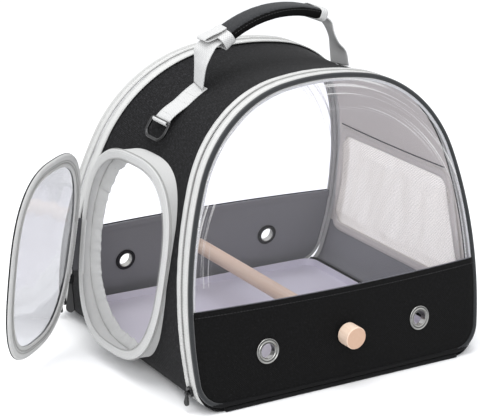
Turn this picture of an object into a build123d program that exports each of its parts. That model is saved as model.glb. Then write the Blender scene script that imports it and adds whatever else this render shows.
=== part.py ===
from build123d import *
import os
from math import atan2, cos, degrees, radians, sin, sqrt

# Soft-sided bird travel carrier, millimetres.
# X runs across the carrier, Y from the front panel (-Y) to the rear panel (+Y), Z up.
# The origin is the middle of the underside of the base.

# ---- driving dimensions: the arch that the side band follows ----
half_width = 172.0            # half the overall width, at the widest height
widest_height = 79.0          # height of the widest point
arch_height = 300.0           # crown of the side band above the table
crown_radius = 296.0
shoulder_radius = 130.0
side_radius = 400.0
corner_radius = 28.0          # rounded bottom corners
base_depth = 298.0            # front to rear at the base
lean_run = 62.0               # how far each end panel leans in over the arch height

# ---- driving dimensions: layers of the side band and the base ----
shell_thickness = 2.0
lining_thickness = 0.8
board_thickness = 3.0
board_margin = 6.0            # board edge to the end panels
base_piping_radius = 1.9
foot_height = 9.6             # the arch zippers start at this height
board_corner = 14.0
lining_setback = 2.0          # lining edge behind the shell's edge

# ---- driving dimensions: end panels ----
bead_radius = 2.5             # piping round each end panel
bead_proud = 1.5              # piping proud of the side band
hoop_radius = 1.0             # spring wire inside the piping
panel_lift = 5.6              # foot of the panel's outline above the table
cover_thickness = 1.5
cover_setback = 1.0           # cover face behind the foremost line of the piping
stiffener_thickness = 2.0
window_thickness = 0.8
window_line = 99.0            # top of the fabric part of the front panel
rear_window_line = 97.0
window_tuck = 6.0             # window sheet sewn behind the cover by this much
board_tuck = 7.0              # stiffener stops this far below the top of the cover
bow_at_window_line = 10.0     # outward bow of the panel at the top of its fabric part
bow_at_crown = 2.0
bow_at_foot = 0.4
edge_play = 0.1               # gap between a panel's sheets and its piping

# ---- driving dimensions: arch zippers, measured back from the panel's foremost line ----
zip_tape_thickness = 0.9
zip_coil_width = 1.4
zip_coil_height = 1.8
zip_coil_play = 0.3
zip_coil_sunk = 0.5           # coil below the band's surface
front_skirt = 14.0            # panel side of the front zipper
front_tape = 7.0              # body side of the front zipper
rear_skirt = 13.0
rear_tape = 12.0

# ---- driving dimensions: eyelets, perch and knob ----
eyelet_spacing = 184.0
eyelet_height = 51.0
eyelet_outer = 12.8           # radii
eyelet_bore = 7.5
eyelet_wall = 0.8
eyelet_flange = 1.2
eyelet_play = 0.05
eyelet_washer_rim = 11.8
eyelet_reach = 1.6            # barrel through the panel and beyond it
eyelet_seat = 0.35            # washer to panel
perch_height = 53.0
perch_radius = 8.0
perch_rear_gap = 3.0
screw_radius = 2.5
screw_play = 0.05
screw_clearance = 0.3
screw_end_room = 2.0
screw_in_perch = 26.0
screw_in_knob = 11.0
insert_radius = 4.2
insert_length = 16.0
insert_play = 0.05
panel_seat = 0.2              # knob and washer to the panel
washer_radius = 10.0
washer_thickness = 1.2
knob_radius = 11.4
knob_length = 16.0
knob_edge = 1.2

# ---- driving dimensions: side door ----
door_half_width = 74.4
door_half_height = 101.5
door_squareness = 2.8         # exponent of the door's outline
door_taper = 0.05             # wider at the top by this share
door_height = 119.0           # centre of the door
door_forward = 8.6            # centre of the door in front of the middle
door_standoff = 8.0           # rim of the collar beyond the widest point of the band
door_tilt = 5.6               # the collar's rim leans in by this many degrees
door_yaw = 4.0                # the collar stands out further at its hinge side
door_open_angle = 56.0
collar_thickness = 1.4
rim_width = 8.0               # flat tape inside the collar's rim
rim_thickness = 1.0
wall_lip = 5.0                # lining edge showing inside the collar
collar_depth = 60.0           # more than the collar's reach to the band
flap_band = 13.0              # width of the flap's border
flap_cover_thickness = 1.2
flap_play = 0.4               # flap's coil to the rim's coil when shut
flap_seam = 3.0               # window edge inside the flap's edge
hinge_strip_height = 56.0
hinge_strip_drop = 12.0       # the strip's middle below the door's middle
hinge_strip_thickness = 1.0
hinge_strip_grip = 6.0        # strip sewn on the flap's border
hinge_offset = 2.6            # hinge line behind the flap's edge
hinge_rise = 0.7              # hinge line above the flap
hinge_tab_gap = 0.8           # flap's edge to the tab on the collar
hinge_tab_play = 0.3          # tab to the strip above it
hinge_tab_thickness = 1.4
hinge_tab_reach = 18.0

# ---- driving dimensions: mesh window in the right wall ----
mesh_bottom = 64.0
mesh_top = 176.0
mesh_end_margin = 9.1         # mesh to the shell's front and rear edges
mesh_corner = 9.0
mesh_thickness = 0.8
mesh_binding_width = 9.0
mesh_binding_thickness = 1.0
mesh_binding_seat = 0.05

# ---- driving dimensions: tray ----
tray_overhang = 11.5          # tray's side beyond the start of the rounded bottom corner
tray_end_gap = 17.0           # tray's end to the end of the base
tray_rim_height = 9.0
tray_wall = 1.0
tray_corner = 14.0
tray_clearance = 0.3

# ---- driving dimensions: handle, straps and D-rings ----
strap_width = 25.0
strap_thickness = 1.6
anchor_half_span = 86.0
anchor_gap = 0.9              # rounded strap end to the webbing below it
strap_fold_left = (-87.0, 320.5)
strap_fold_right = (54.0, 336.0)
grip_left = (-66.0, 326.0)
grip_crest = (-10.0, 346.5)
grip_right = (44.0, 340.5)
grip_height = 12.0
grip_width = 31.0
grip_edge = 5.0
tab_overrun = 1.0             # webbing reaches this many degrees past the handle's anchor
dring_wire = 1.7
dring_half_width = 16.2
dring_drop = 19.0
dring_bend = 2.5
dring_bow = 9.5
dring_loop_wall = 1.5
dring_loop_play = 0.1
dring_loop_turn = 53.0        # place of the loop on the shoulder, degrees from upright
dring_hang = 7.0              # the ring leans this many degrees against the wall
dring_loop_seat = 0.05

# ---- driving dimensions: zipper sliders and pulls ----
slider_length = 10.0
slider_width = 8.0
slider_height = 2.8
slider_seat = 0.1             # slider to coil
bail_bar = 0.8                # radius of the bar that the pull hangs on
bail_span = 5.6
bail_post = 1.0
pull_play = 0.1
pull_eye = 1.8                # radius of the pull's eye
pull_neck = 1.2
pull_thickness = 2.2
door_pull_length = 38.0
door_pull_end = 4.6
arch_pull_length = 13.0
arch_pull_end = 3.2
corner_slider_turn = 15.0     # arch sliders on the rounded corners, degrees below level
door_slider_drop = 48.0       # door slider below the door's middle
door_slider_gap = 0.5

# ---- derived values ----
lean_slope = lean_run / arch_height
side_centre = (half_width - side_radius, widest_height)
crown_centre = (0.0, arch_height - crown_radius)


def polar(centre, radius, angle):
    return (centre[0] + radius * cos(angle), centre[1] + radius * sin(angle))


def shoulder_centre():
    """Centre of the arc that is tangent to the side arc and the crown arc."""
    to_side = side_radius - shoulder_radius
    to_crown = crown_radius - shoulder_radius
    dx = crown_centre[0] - side_centre[0]
    dz = crown_centre[1] - side_centre[1]
    span = sqrt(dx * dx + dz * dz)
    along = (to_side**2 - to_crown**2 + span**2) / (2 * span)
    off = sqrt(to_side**2 - along**2)
    ux, uz = dx / span, dz / span
    return (side_centre[0] + along * ux - off * uz, side_centre[1] + along * uz + off * ux)


shoulder = shoulder_centre()
side_end = atan2(shoulder[1] - side_centre[1], shoulder[0] - side_centre[0])
shoulder_end = atan2(shoulder[1] - crown_centre[1], shoulder[0] - crown_centre[0])


def arch_face(offset=0.0, lift=0.0):
    """Arch outline in the XZ plane, grown by offset, with its bottom edge raised by lift."""
    corner_height = corner_radius + lift
    reach = side_radius - corner_radius
    corner = (side_centre[0] + sqrt(reach**2 - (corner_height - side_centre[1]) ** 2), corner_height)
    side_start = atan2(corner[1] - side_centre[1], corner[0] - side_centre[0])
    runs = [
        (corner, corner_radius + offset, radians(-90), side_start),
        (side_centre, side_radius + offset, side_start, side_end),
        (shoulder, shoulder_radius + offset, side_end, shoulder_end),
        (crown_centre, crown_radius + offset, shoulder_end, radians(90)),
    ]
    edges = []
    for centre, radius, start, end in runs:
        points = [polar(centre, radius, a) for a in (start, (start + end) / 2, end)]
        edges.append(ThreePointArc(*points))
        edges.append(ThreePointArc(*[(-x, z) for x, z in points]))
    foot = (corner[0], lift - offset)
    edges.append(Line((-foot[0], foot[1]), foot))
    return make_face(edges)


def prism(offset=0.0, lift=0.0):
    return extrude(Plane.XZ * arch_face(offset, lift), amount=base_depth, both=True)


def band(outer, inner, lift=0.0):
    """Hollow arch between two offsets of the outline, endless along Y."""
    return prism(outer, lift) - prism(inner, lift)


def front_y(z):
    return -base_depth / 2 + lean_slope * z


def slab(front, rear):
    """Everything between front(z) and rear(z), both straight lines in the YZ plane."""
    low, high = -20.0, arch_height + 20.0
    outline = Polyline((front(low), low), (rear(low), low), (rear(high), high), (front(high), high),
                       close=True)
    return extrude(Plane.YZ * make_face(outline), amount=2 * half_width, both=True)


def front_slab(start, end):
    return slab(lambda z: front_y(z) + start, lambda z: front_y(z) + end)


def mid_slab(front_margin, rear_margin):
    return slab(lambda z: front_y(z) + front_margin, lambda z: -front_y(z) - rear_margin)


def to_rear(part):
    """The rear panel's copy of a piece that was made at the front."""
    return mirror(part, about=Plane.XZ)


def write(name, part):
    solids = part.solids()
    shape = solids[0] if len(solids) == 1 else Compound(children=list(solids))
    shape.label = name
    export_step(shape, f"parts/{name}.step")


# ---- side band, lining and base ----
corner_reach = side_radius - corner_radius
corner_x = side_centre[0] + sqrt(corner_reach**2 - (corner_radius - widest_height) ** 2)
front_shell_start = front_skirt + 2 * zip_coil_width + zip_coil_play
rear_shell_start = rear_skirt + 2 * zip_coil_width + zip_coil_play
base_region = Pos(0, 0, shell_thickness / 2) * Box(2 * corner_x, 2 * base_depth, shell_thickness)

door_origin = Vector(-(half_width + door_standoff), -door_forward, door_height)
door_rearward = Vector(-sin(radians(door_yaw)), cos(radians(door_yaw)), 0)
door_upward = Vector(sin(radians(door_tilt)), 0, cos(radians(door_tilt)))
door_outward = door_upward.cross(door_rearward).normalized()
door_plane = Plane(origin=door_origin, x_dir=-door_rearward, z_dir=door_outward)


def squircle(inset=0.0):
    """Outline of the door, moved in by inset: local x forward, local y up."""
    points = []
    count = 24
    width = door_half_width - inset
    height = door_half_height - inset
    for i in range(count):
        angle = radians(360) * i / count
        c, s = cos(angle), sin(angle)
        up = (abs(s) ** (2 / door_squareness)) * (1 if s >= 0 else -1)
        across = (abs(c) ** (2 / door_squareness)) * (1 if c >= 0 else -1)
        points.append((width * across * (1 + door_taper * up), height * up))
    return make_face(Spline(*points, periodic=True))


def door_slab(outer_inset, inner_inset, low, high):
    """Ring or plate parallel to the collar's rim, from low to high along its outward normal."""
    face = squircle(outer_inset)
    if inner_inset is not None:
        face = face - squircle(inner_inset)
    return extrude(door_plane * (Pos(0, 0, low) * face), amount=high - low)


def mesh_half(z):
    """Half length of the mesh window at height z."""
    return -front_y(z) - front_shell_start - mesh_end_margin


def mesh_face(grow=0.0):
    """Outline of the mesh window seen from the side: local x along Y, local y along Z."""
    bottom, top = mesh_bottom - grow, mesh_top + grow
    low_half, high_half = (mesh_half(z) + grow for z in (mesh_bottom, mesh_top))
    outline = Polyline((-low_half, bottom), (low_half, bottom), (high_half, top), (-high_half, top),
                       close=True)
    face = make_face(outline)
    return fillet(face.vertices(), mesh_corner + grow)


def mesh_prism(grow=0.0):
    return extrude(Plane.YZ * mesh_face(grow), amount=half_width + 20)


door_wall_cut = door_slab(collar_thickness + wall_lip, None, -collar_depth, door_standoff)
low_zone = Pos(0, 0, foot_height / 2) * Box(4 * half_width, 2 * base_depth, foot_height)
body_zone = mid_slab(front_shell_start, rear_shell_start) + (mid_slab(bead_radius, bead_radius) & low_zone)
gusset = band(0, -shell_thickness) & body_zone
gusset_shell = gusset - base_region - door_wall_cut - mesh_prism()
lining_zone = mid_slab(front_shell_start + lining_setback, rear_shell_start + lining_setback)
cabin_lining = band(-shell_thickness, -shell_thickness - lining_thickness) & lining_zone
cabin_lining = cabin_lining - door_wall_cut - mesh_prism()

floor_top = shell_thickness + lining_thickness
board_half_depth = base_depth / 2 - lean_slope * (floor_top + board_thickness) - board_margin - bead_radius
board_outline = RectangleRounded(2 * corner_x, 2 * board_half_depth, board_corner)
base_board = extrude(Pos(0, 0, floor_top) * board_outline, amount=board_thickness)
welt_y = base_depth / 2 - base_piping_radius


def base_welt(sign):
    """Piping along one end of the base, below the panel's own piping."""
    cord = Rot(0, 90, 0) * Cylinder(base_piping_radius, 2 * corner_x)
    return Pos(0, sign * welt_y, base_piping_radius) * cord


base_panel = base_region & Box(4 * half_width, 2 * (welt_y - base_piping_radius), 4 * shell_thickness)

# ---- end panels ----
bead_offset = bead_proud - bead_radius


def bead_path():
    """Centre line of the piping: the arch outline where the leaning panel plane cuts it."""
    block = prism(bead_offset, panel_lift) & front_slab(bead_radius, base_depth / 2)
    facing_front = [face for face in block.faces() if face.normal_at().Y < -0.9]
    return facing_front[0].outer_wire()


def swept_ring(outer, inner=None):
    path = bead_path()
    start = path.position_at(0)
    heading = path.tangent_at(0)
    section = Circle(outer)
    if inner is not None:
        section = section - Circle(inner)
    return sweep(Plane(origin=start, z_dir=heading) * section, path=path)


piping = swept_ring(bead_radius, hoop_radius)
hoop = swept_ring(hoop_radius)


panel_reach = 1.04 * half_width


def strip_face(z, depth, thickness, bow):
    """Bowed cross-section of a panel sheet at height z."""
    y = front_y(z) + depth
    reach = panel_reach
    outer = ThreePointArc((-reach, y), (0, y - bow), (reach, y))
    inner = ThreePointArc((-reach, y + thickness), (0, y + thickness - bow), (reach, y + thickness))
    ends = [Line((x, y), (x, y + thickness)) for x in (-reach, reach)]
    return Pos(0, 0, z) * make_face([outer, inner] + ends)


def bow_at(z, line):
    if z <= line:
        return bow_at_foot + (bow_at_window_line - bow_at_foot) * z / line
    return bow_at_window_line + (bow_at_crown - bow_at_window_line) * (z - line) / (arch_height - line)


sheet_offset = bead_offset - bead_radius - edge_play


def panel_sheet(low, high, depth, thickness, line):
    faces = [strip_face(z, depth, thickness, bow_at(z, line)) for z in (low, high)]
    return loft(faces, ruled=True) & prism(sheet_offset, panel_lift)


def panel_y(x, z, line):
    """Outer face of the panel cover at a point of the panel."""
    bow = bow_at(z, line) * (1 - (x / panel_reach) ** 2)
    return front_y(z) + cover_setback - bow


def eyelet_plane(side, line):
    """Plane on the cover's outer face at an eyelet, facing out."""
    x, z, step = side * eyelet_spacing / 2, eyelet_height, 1.0
    here = Vector(x, panel_y(x, z, line), z)
    across = Vector(x + step, panel_y(x + step, z, line), z) - here
    upward = Vector(x, panel_y(x, z + step, line), z + step) - here
    return Plane(origin=here, x_dir=across, z_dir=across.cross(upward))


panel_stack = cover_thickness + stiffener_thickness


def eyelet(side, line):
    """Flanged barrel pressed in from outside."""
    flange = Pos(0, 0, eyelet_flange / 2 + eyelet_play) * Cylinder(eyelet_outer, eyelet_flange)
    flange = fillet(flange.edges().group_by(Axis.Z)[-1], eyelet_flange / 2)
    length = panel_stack + eyelet_reach + eyelet_flange / 2
    barrel = Pos(0, 0, eyelet_flange / 2 - length / 2) * Cylinder(eyelet_bore + eyelet_wall, length)
    return eyelet_plane(side, line) * (flange + barrel - Cylinder(eyelet_bore, 4 * length))


def eyelet_washer(side, line):
    """Flat ring clenched on the inside."""
    hole = Cylinder(eyelet_bore + eyelet_wall + eyelet_play, 4 * eyelet_flange)
    ring = Cylinder(eyelet_washer_rim, eyelet_flange) - hole
    return eyelet_plane(side, line) * (Pos(0, 0, -panel_stack - eyelet_flange / 2 - eyelet_seat) * ring)


def eyelet_hole(side, line):
    return eyelet_plane(side, line) * Cylinder(eyelet_bore + eyelet_wall + 2 * eyelet_play, 6 * panel_stack)


def lower_cover(line):
    cover = panel_sheet(0, line, cover_setback, cover_thickness, line)
    return cover - eyelet_hole(-1, line) - eyelet_hole(1, line)


def stiffener(line):
    board = panel_sheet(0, line, cover_setback + cover_thickness, stiffener_thickness, line)
    top = line - board_tuck
    board = board & (Pos(0, 0, top / 2) * Box(4 * half_width, 4 * base_depth, top))
    return board - eyelet_hole(-1, line) - eyelet_hole(1, line)


def clear_window(line):
    sheet_depth = cover_setback + cover_thickness + edge_play
    faces = [strip_face(z, sheet_depth, window_thickness, bow_at(z, line))
             for z in (line - window_tuck, arch_height)]
    return loft(faces, ruled=True) & prism(sheet_offset, panel_lift)


def arch_strip(depth_start, depth_end, outer, inner, lift=0.0):
    """Strip of tape or coil that follows the arch above the base, made at the front."""
    above = Pos(0, 0, arch_height / 2 + foot_height) * Box(3 * half_width, 3 * base_depth, arch_height)
    return band(outer, inner, lift) & front_slab(depth_start, depth_end) & above


tape_top = zip_tape_thickness
coil_top = zip_coil_height - zip_coil_sunk


def zip_pieces(skirt, tape):
    """Panel tape, panel coil, body coil and body tape of one arch zipper, made at the front."""
    panel_start = 2 * bead_radius + edge_play
    coil_a = skirt
    coil_b = skirt + zip_coil_width + zip_coil_play
    shell = coil_b + zip_coil_width
    return (
        arch_strip(panel_start, coil_a, tape_top, 0),
        arch_strip(coil_a, coil_a + zip_coil_width, coil_top, coil_top - zip_coil_height),
        arch_strip(coil_b, coil_b + zip_coil_width, coil_top, coil_top - zip_coil_height),
        arch_strip(shell, shell + tape, tape_top, 0),
    )


front_zip = zip_pieces(front_skirt, front_tape)
rear_zip = [to_rear(piece) for piece in zip_pieces(rear_skirt, rear_tape)]

# ---- perch, clamped to the front panel by its knob ----
knob_low = perch_height - knob_radius
knob_back = front_y(knob_low) + cover_setback - bow_at(knob_low, window_line) - panel_seat
washer_high = perch_height + washer_radius
washer_bow = bow_at(washer_high, window_line) * (1 - (washer_radius / panel_reach) ** 2)
washer_front = front_y(washer_high) + cover_setback + panel_stack - washer_bow + panel_seat
dowel_front = washer_front + washer_thickness
perch_high = perch_height + perch_radius
rear_face = front_y(perch_high) + cover_setback + panel_stack - bow_at(perch_high, rear_window_line)
dowel_rear = -rear_face - perch_rear_gap


def along_y(radius, start, end):
    """Round bar on the perch's axis."""
    return Pos(0, (start + end) / 2, perch_height) * Rot(90, 0, 0) * Cylinder(radius, end - start)


insert_end = dowel_front + insert_length
screw_end = dowel_front + screw_in_perch
knob_front = knob_back - knob_length
screw_start = knob_back - screw_in_knob
screw_bore = along_y(screw_radius + screw_clearance, dowel_front, screw_end + screw_end_room)
insert_bore = along_y(insert_radius, dowel_front, insert_end)
perch_dowel = along_y(perch_radius, dowel_front, dowel_rear) - insert_bore - screw_bore
perch_insert = (along_y(insert_radius - insert_play, dowel_front + insert_play, insert_end - insert_play)
                - along_y(screw_radius + screw_play, dowel_front, insert_end))
perch_washer = (along_y(washer_radius, washer_front, dowel_front - insert_play)
                - along_y(screw_radius + screw_clearance, washer_front, dowel_front))
knob_body = along_y(knob_radius, knob_front, knob_back)
knob_body = fillet(knob_body.edges().filter_by(GeomType.CIRCLE), knob_edge)
perch_knob = knob_body - along_y(screw_radius, screw_start, knob_back)
perch_screw = along_y(screw_radius, screw_start, screw_end)
panel_screw_hole = along_y(screw_radius + screw_clearance, knob_front, dowel_front)

front_cover = lower_cover(window_line) - panel_screw_hole
front_board = stiffener(window_line) - panel_screw_hole
front_window = clear_window(window_line)
rear_cover = to_rear(lower_cover(rear_window_line))
rear_board = to_rear(stiffener(rear_window_line))
rear_window = to_rear(clear_window(rear_window_line))

# ---- side door ----
inside_arch = prism(0)
door_collar = door_slab(0, collar_thickness, -collar_depth, 0) - inside_arch
door_rim = door_slab(collar_thickness, collar_thickness + rim_width, -rim_thickness, 0)
rim_coil_inset = collar_thickness + rim_width - zip_coil_width
door_rim_coil = door_slab(rim_coil_inset, rim_coil_inset + zip_coil_width, 0, zip_coil_height / 2)
flap_level = zip_coil_height + flap_play
door_flap_coil = door_slab(rim_coil_inset, rim_coil_inset + zip_coil_width,
                           zip_coil_height / 2 + flap_play, flap_level)
door_flap_tape = door_slab(0, flap_band, flap_level, flap_level + zip_tape_thickness)
window_level = flap_level + zip_tape_thickness
door_window = door_slab(flap_seam, None, window_level, window_level + window_thickness)
cover_level = window_level + window_thickness
door_flap_cover = door_slab(0, flap_band, cover_level, cover_level + flap_cover_thickness)
flap_top = cover_level + flap_cover_thickness

hinge_centre = door_plane.from_local_coords(
    Vector(-door_half_width - hinge_offset, -hinge_strip_drop, flap_top + hinge_rise)
)
hinge_axis = Axis(tuple(hinge_centre), (0, 0, 1))


def beside_hinge(piece, low=-door_half_width - hinge_offset, high=0):
    """The part of a door piece that lies beside the hinge strip, between two local x places."""
    block = Box(high - low, hinge_strip_height, 2 * collar_depth)
    return piece & door_plane * (Pos((low + high) / 2, -hinge_strip_drop, 0) * block)


hinge_strip = beside_hinge(
    door_slab(-hinge_offset, hinge_strip_grip, flap_top, flap_top + hinge_strip_thickness)
)
tab_top = flap_top - hinge_tab_play
tab_bottom = tab_top - hinge_tab_reach
tab_ring = door_slab(-hinge_tab_gap - hinge_tab_thickness, -hinge_tab_gap, tab_bottom, tab_top)
hinge_tab = beside_hinge(tab_ring) - inside_arch


def zipped(ring):
    """A coil ring of the door without the stretch beside the hinge."""
    return ring - beside_hinge(ring)


def opened(piece):
    """A door piece turned from shut to where it stands open."""
    return piece.rotate(hinge_axis, -door_open_angle)


# ---- mesh window ----
mesh_level = -shell_thickness / 2 + mesh_thickness / 2
mesh_window = band(mesh_level, mesh_level - mesh_thickness) & mesh_prism()
binding_level = -shell_thickness - lining_thickness - mesh_binding_seat
mesh_binding = band(binding_level, binding_level - mesh_binding_thickness)
mesh_binding = mesh_binding & (mesh_prism(mesh_binding_width) - mesh_prism(0))

# ---- tray ----
tray_floor = floor_top + board_thickness + tray_clearance
tray_half_width = corner_x + tray_overhang
tray_half_depth = base_depth / 2 - tray_end_gap
tray_block = extrude(Pos(0, 0, tray_floor) * RectangleRounded(2 * tray_half_width, 2 * tray_half_depth,
                                                              tray_corner), amount=tray_rim_height)
tray_hollow = extrude(
    Pos(0, 0, tray_floor + tray_wall)
    * RectangleRounded(2 * (tray_half_width - tray_wall), 2 * (tray_half_depth - tray_wall),
                       tray_corner - tray_wall),
    amount=tray_rim_height,
)
tray = tray_block - tray_hollow


# ---- D-rings and the webbing tabs that hold them ----
loop_radius = dring_wire + dring_loop_play + dring_loop_wall
left_shoulder = (-shoulder[0], shoulder[1])


def on_shoulder(turn, offset=0.0):
    """Point on the left shoulder, turn degrees down from upright."""
    return polar(left_shoulder, shoulder_radius + offset, radians(90 + turn))


anchor_turn = degrees(atan2(anchor_half_span - shoulder[0],
                            sqrt(shoulder_radius**2 - (anchor_half_span - shoulder[0]) ** 2)))
tab_start = anchor_turn - tab_overrun
loop_centre = on_shoulder(dring_loop_turn, loop_radius + dring_loop_seat)


def webbing_tab():
    """Webbing sewn flat on the left shoulder, ending in the loop round the D-ring's bar."""
    turns = (tab_start, (tab_start + dring_loop_turn) / 2, dring_loop_turn)
    low = [on_shoulder(t) for t in turns]
    high = [on_shoulder(t, strap_thickness) for t in turns]
    ends = [Line(low[0], high[0]), Line(low[2], high[2])]
    face = make_face([ThreePointArc(*low), ThreePointArc(*high)] + ends)
    strip = extrude(Plane.XZ * face, amount=strap_width / 2, both=True)
    loop = Plane.XZ * (Pos(*loop_centre) * Cylinder(loop_radius, strap_width))
    bore = Plane.XZ * (Pos(*loop_centre) * Cylinder(dring_wire + dring_loop_play, 2 * strap_width))
    return (strip + loop) - bore - prism(0)


def dring():
    """Bent wire ring: straight bar along Y, bow hanging down the wall."""
    half = dring_half_width
    path = FilletPolyline((0, -half), (0, half), (-dring_drop, half), (-dring_drop, -half),
                          radius=[dring_bend, dring_bend, dring_bow, dring_bow], close=True)
    start = path.edges().sort_by(Axis.X)[-1]
    section = Plane(origin=start @ 0.5, z_dir=start % 0.5) * Circle(dring_wire)
    ring = sweep(section, path=path)
    slope = dring_loop_turn + dring_hang
    return Pos(loop_centre[0], 0, loop_centre[1]) * Rot(0, -slope, 0) * ring


# ---- handle: one strap through a padded grip ----
axis_height = on_shoulder(anchor_turn, strap_thickness + anchor_gap)[1] + strap_width / 2
anchor_left = (-anchor_half_span, axis_height)
anchor_right = (anchor_half_span, axis_height)


def circle_centre(a, b, c):
    """Centre of the circle through three points."""
    d = 2 * (a[0] * (b[1] - c[1]) + b[0] * (c[1] - a[1]) + c[0] * (a[1] - b[1]))
    sa, sb, sc = (point[0] ** 2 + point[1] ** 2 for point in (a, b, c))
    x = (sa * (b[1] - c[1]) + sb * (c[1] - a[1]) + sc * (a[1] - b[1])) / d
    z = (sa * (c[0] - b[0]) + sb * (a[0] - c[0]) + sc * (b[0] - a[0])) / d
    return (x, z)


grip_centre = circle_centre(grip_left, grip_crest, grip_right)
grip_radius = (Vector(*grip_crest) - Vector(*grip_centre)).length


def grip_ring(thickness):
    """Stretch of a ring along the grip's arc."""
    centre = Vector(*grip_centre)
    ends = [centre + (Vector(*end) - centre) * 2 for end in (grip_left, grip_right)]
    wedge = make_face(Polyline(grip_centre, ends[0], ends[1], close=True))
    ring = Circle(grip_radius + thickness / 2) - Circle(grip_radius - thickness / 2)
    return (Pos(*grip_centre) * ring) & wedge


def strap_run(start, end):
    """Flat piece of strap between two points, with round ends."""
    dx, dz = end[0] - start[0], end[1] - start[1]
    middle = ((start[0] + end[0]) / 2, (start[1] + end[1]) / 2)
    length = sqrt(dx * dx + dz * dz)
    bar = Pos(*middle) * Rot(0, 0, degrees(atan2(dz, dx))) * Rectangle(length, strap_thickness)
    return bar + [Pos(*point) * Circle(strap_thickness / 2) for point in (start, end)]


def handle_parts():
    """The strap and the padded grip with the strap's slot through it."""
    profile = grip_ring(strap_thickness)
    for start, end in ((anchor_left, strap_fold_left), (strap_fold_left, grip_left),
                       (grip_right, strap_fold_right), (strap_fold_right, anchor_right)):
        profile = profile + strap_run(start, end)
    strap = extrude(Plane.XZ * profile, amount=strap_width / 2, both=True)
    for x, z in (anchor_left, anchor_right):
        strap = strap + Pos(x, 0, z) * Rot(0, 90, 0) * Cylinder(strap_width / 2, strap_thickness)
    body = extrude(Plane.XZ * grip_ring(grip_height), amount=grip_width / 2, both=True)
    body = fillet(body.edges().filter_by(GeomType.CIRCLE), grip_edge)
    return strap, body - strap


handle_strap, handle_grip = handle_parts()

# ---- zipper sliders and pulls ----
pull_pivot = slider_height + pull_eye + pull_play


def slider():
    """Slider body on its zipper: local x up the zipper, local z away from the cloth."""
    body = Pos(0, 0, slider_height / 2) * Box(slider_length, slider_width, slider_height)
    body = fillet(body.edges().filter_by(Axis.Z), slider_width / 4)
    bar = Pos(0, 0, pull_pivot) * Rot(90, 0, 0) * Cylinder(bail_bar, bail_span)
    height = pull_pivot + bail_bar
    post = Pos(0, bail_span / 2 - bail_post / 2, height / 2) * Box(2 * bail_bar, bail_post, height)
    return body + bar + post + mirror(post, about=Plane.XZ)


def pull(length, end_radius):
    """Drop-shaped pull with its eye round the origin, hanging down local x."""
    eye_width = bail_span - 2 * bail_post - 2 * pull_play
    neck = Pos(-2 * pull_eye, 0) * Circle(pull_neck)
    drop = Pos(end_radius - length, 0) * Circle(end_radius)
    blade = extrude(make_hull((neck + drop).edges()), amount=pull_thickness / 2, both=True)
    link = Pos(-pull_eye, 0) * Box(2 * pull_eye, 2 * pull_neck, pull_thickness)
    eye = Rot(90, 0, 0) * Cylinder(pull_eye, eye_width)
    bore = Rot(90, 0, 0) * Cylinder(bail_bar + pull_play, 4 * eye_width)
    return blade + link + eye - bore


def pull_plane(slider_plane, outward):
    """Plane on the slider's bar for a pull that hangs plumb."""
    pivot = slider_plane.from_local_coords(Vector(0, 0, pull_pivot))
    return Plane(origin=pivot, x_dir=Vector(0, 0, 1), z_dir=outward)


def corner_slider_plane(depth):
    """Plane on the front arch zipper at the left rounded corner."""
    turn = radians(corner_slider_turn)
    x, z = polar((corner_x, corner_radius), corner_radius + coil_top + slider_seat, -turn)
    along = Vector(-sin(turn), 0, cos(turn))
    return Plane(origin=(-x, front_y(z) + depth, z), x_dir=along, z_dir=Vector(-cos(turn), 0, -sin(turn)))


def arch_slider_and_pull(skirt):
    """Slider and pull of the front zipper's left end."""
    plane = corner_slider_plane(skirt + zip_coil_width + zip_coil_play / 2)
    hanging = pull_plane(plane, Vector(-1, 0, 0)) * pull(arch_pull_length, arch_pull_end)
    return plane * slider(), hanging


def to_right(part):
    return mirror(part, about=Plane.YZ)


front_slider, front_pull = arch_slider_and_pull(front_skirt)
rear_slider, rear_pull = (to_rear(piece) for piece in arch_slider_and_pull(rear_skirt))

door_slider_share = door_slider_drop / door_half_height
door_slider_reach = (door_half_width * (1 - door_slider_share**door_squareness) ** (1 / door_squareness)
                     * (1 - door_taper * door_slider_share**(door_squareness / 2)))
door_slider_origin = door_plane.from_local_coords(
    Vector(-door_slider_reach - door_slider_gap, -door_slider_drop, (flap_level + flap_top) / 2)
)
door_slider_plane = Plane(origin=door_slider_origin, x_dir=Vector(0, 0, 1), z_dir=door_rearward)
door_slider = door_slider_plane * slider()
door_pull = pull_plane(door_slider_plane, door_rearward) * pull(door_pull_length, door_pull_end)


def pair(piece):
    """The same piece at both ends of X."""
    return Compound(children=[piece, to_right(piece)])


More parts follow.
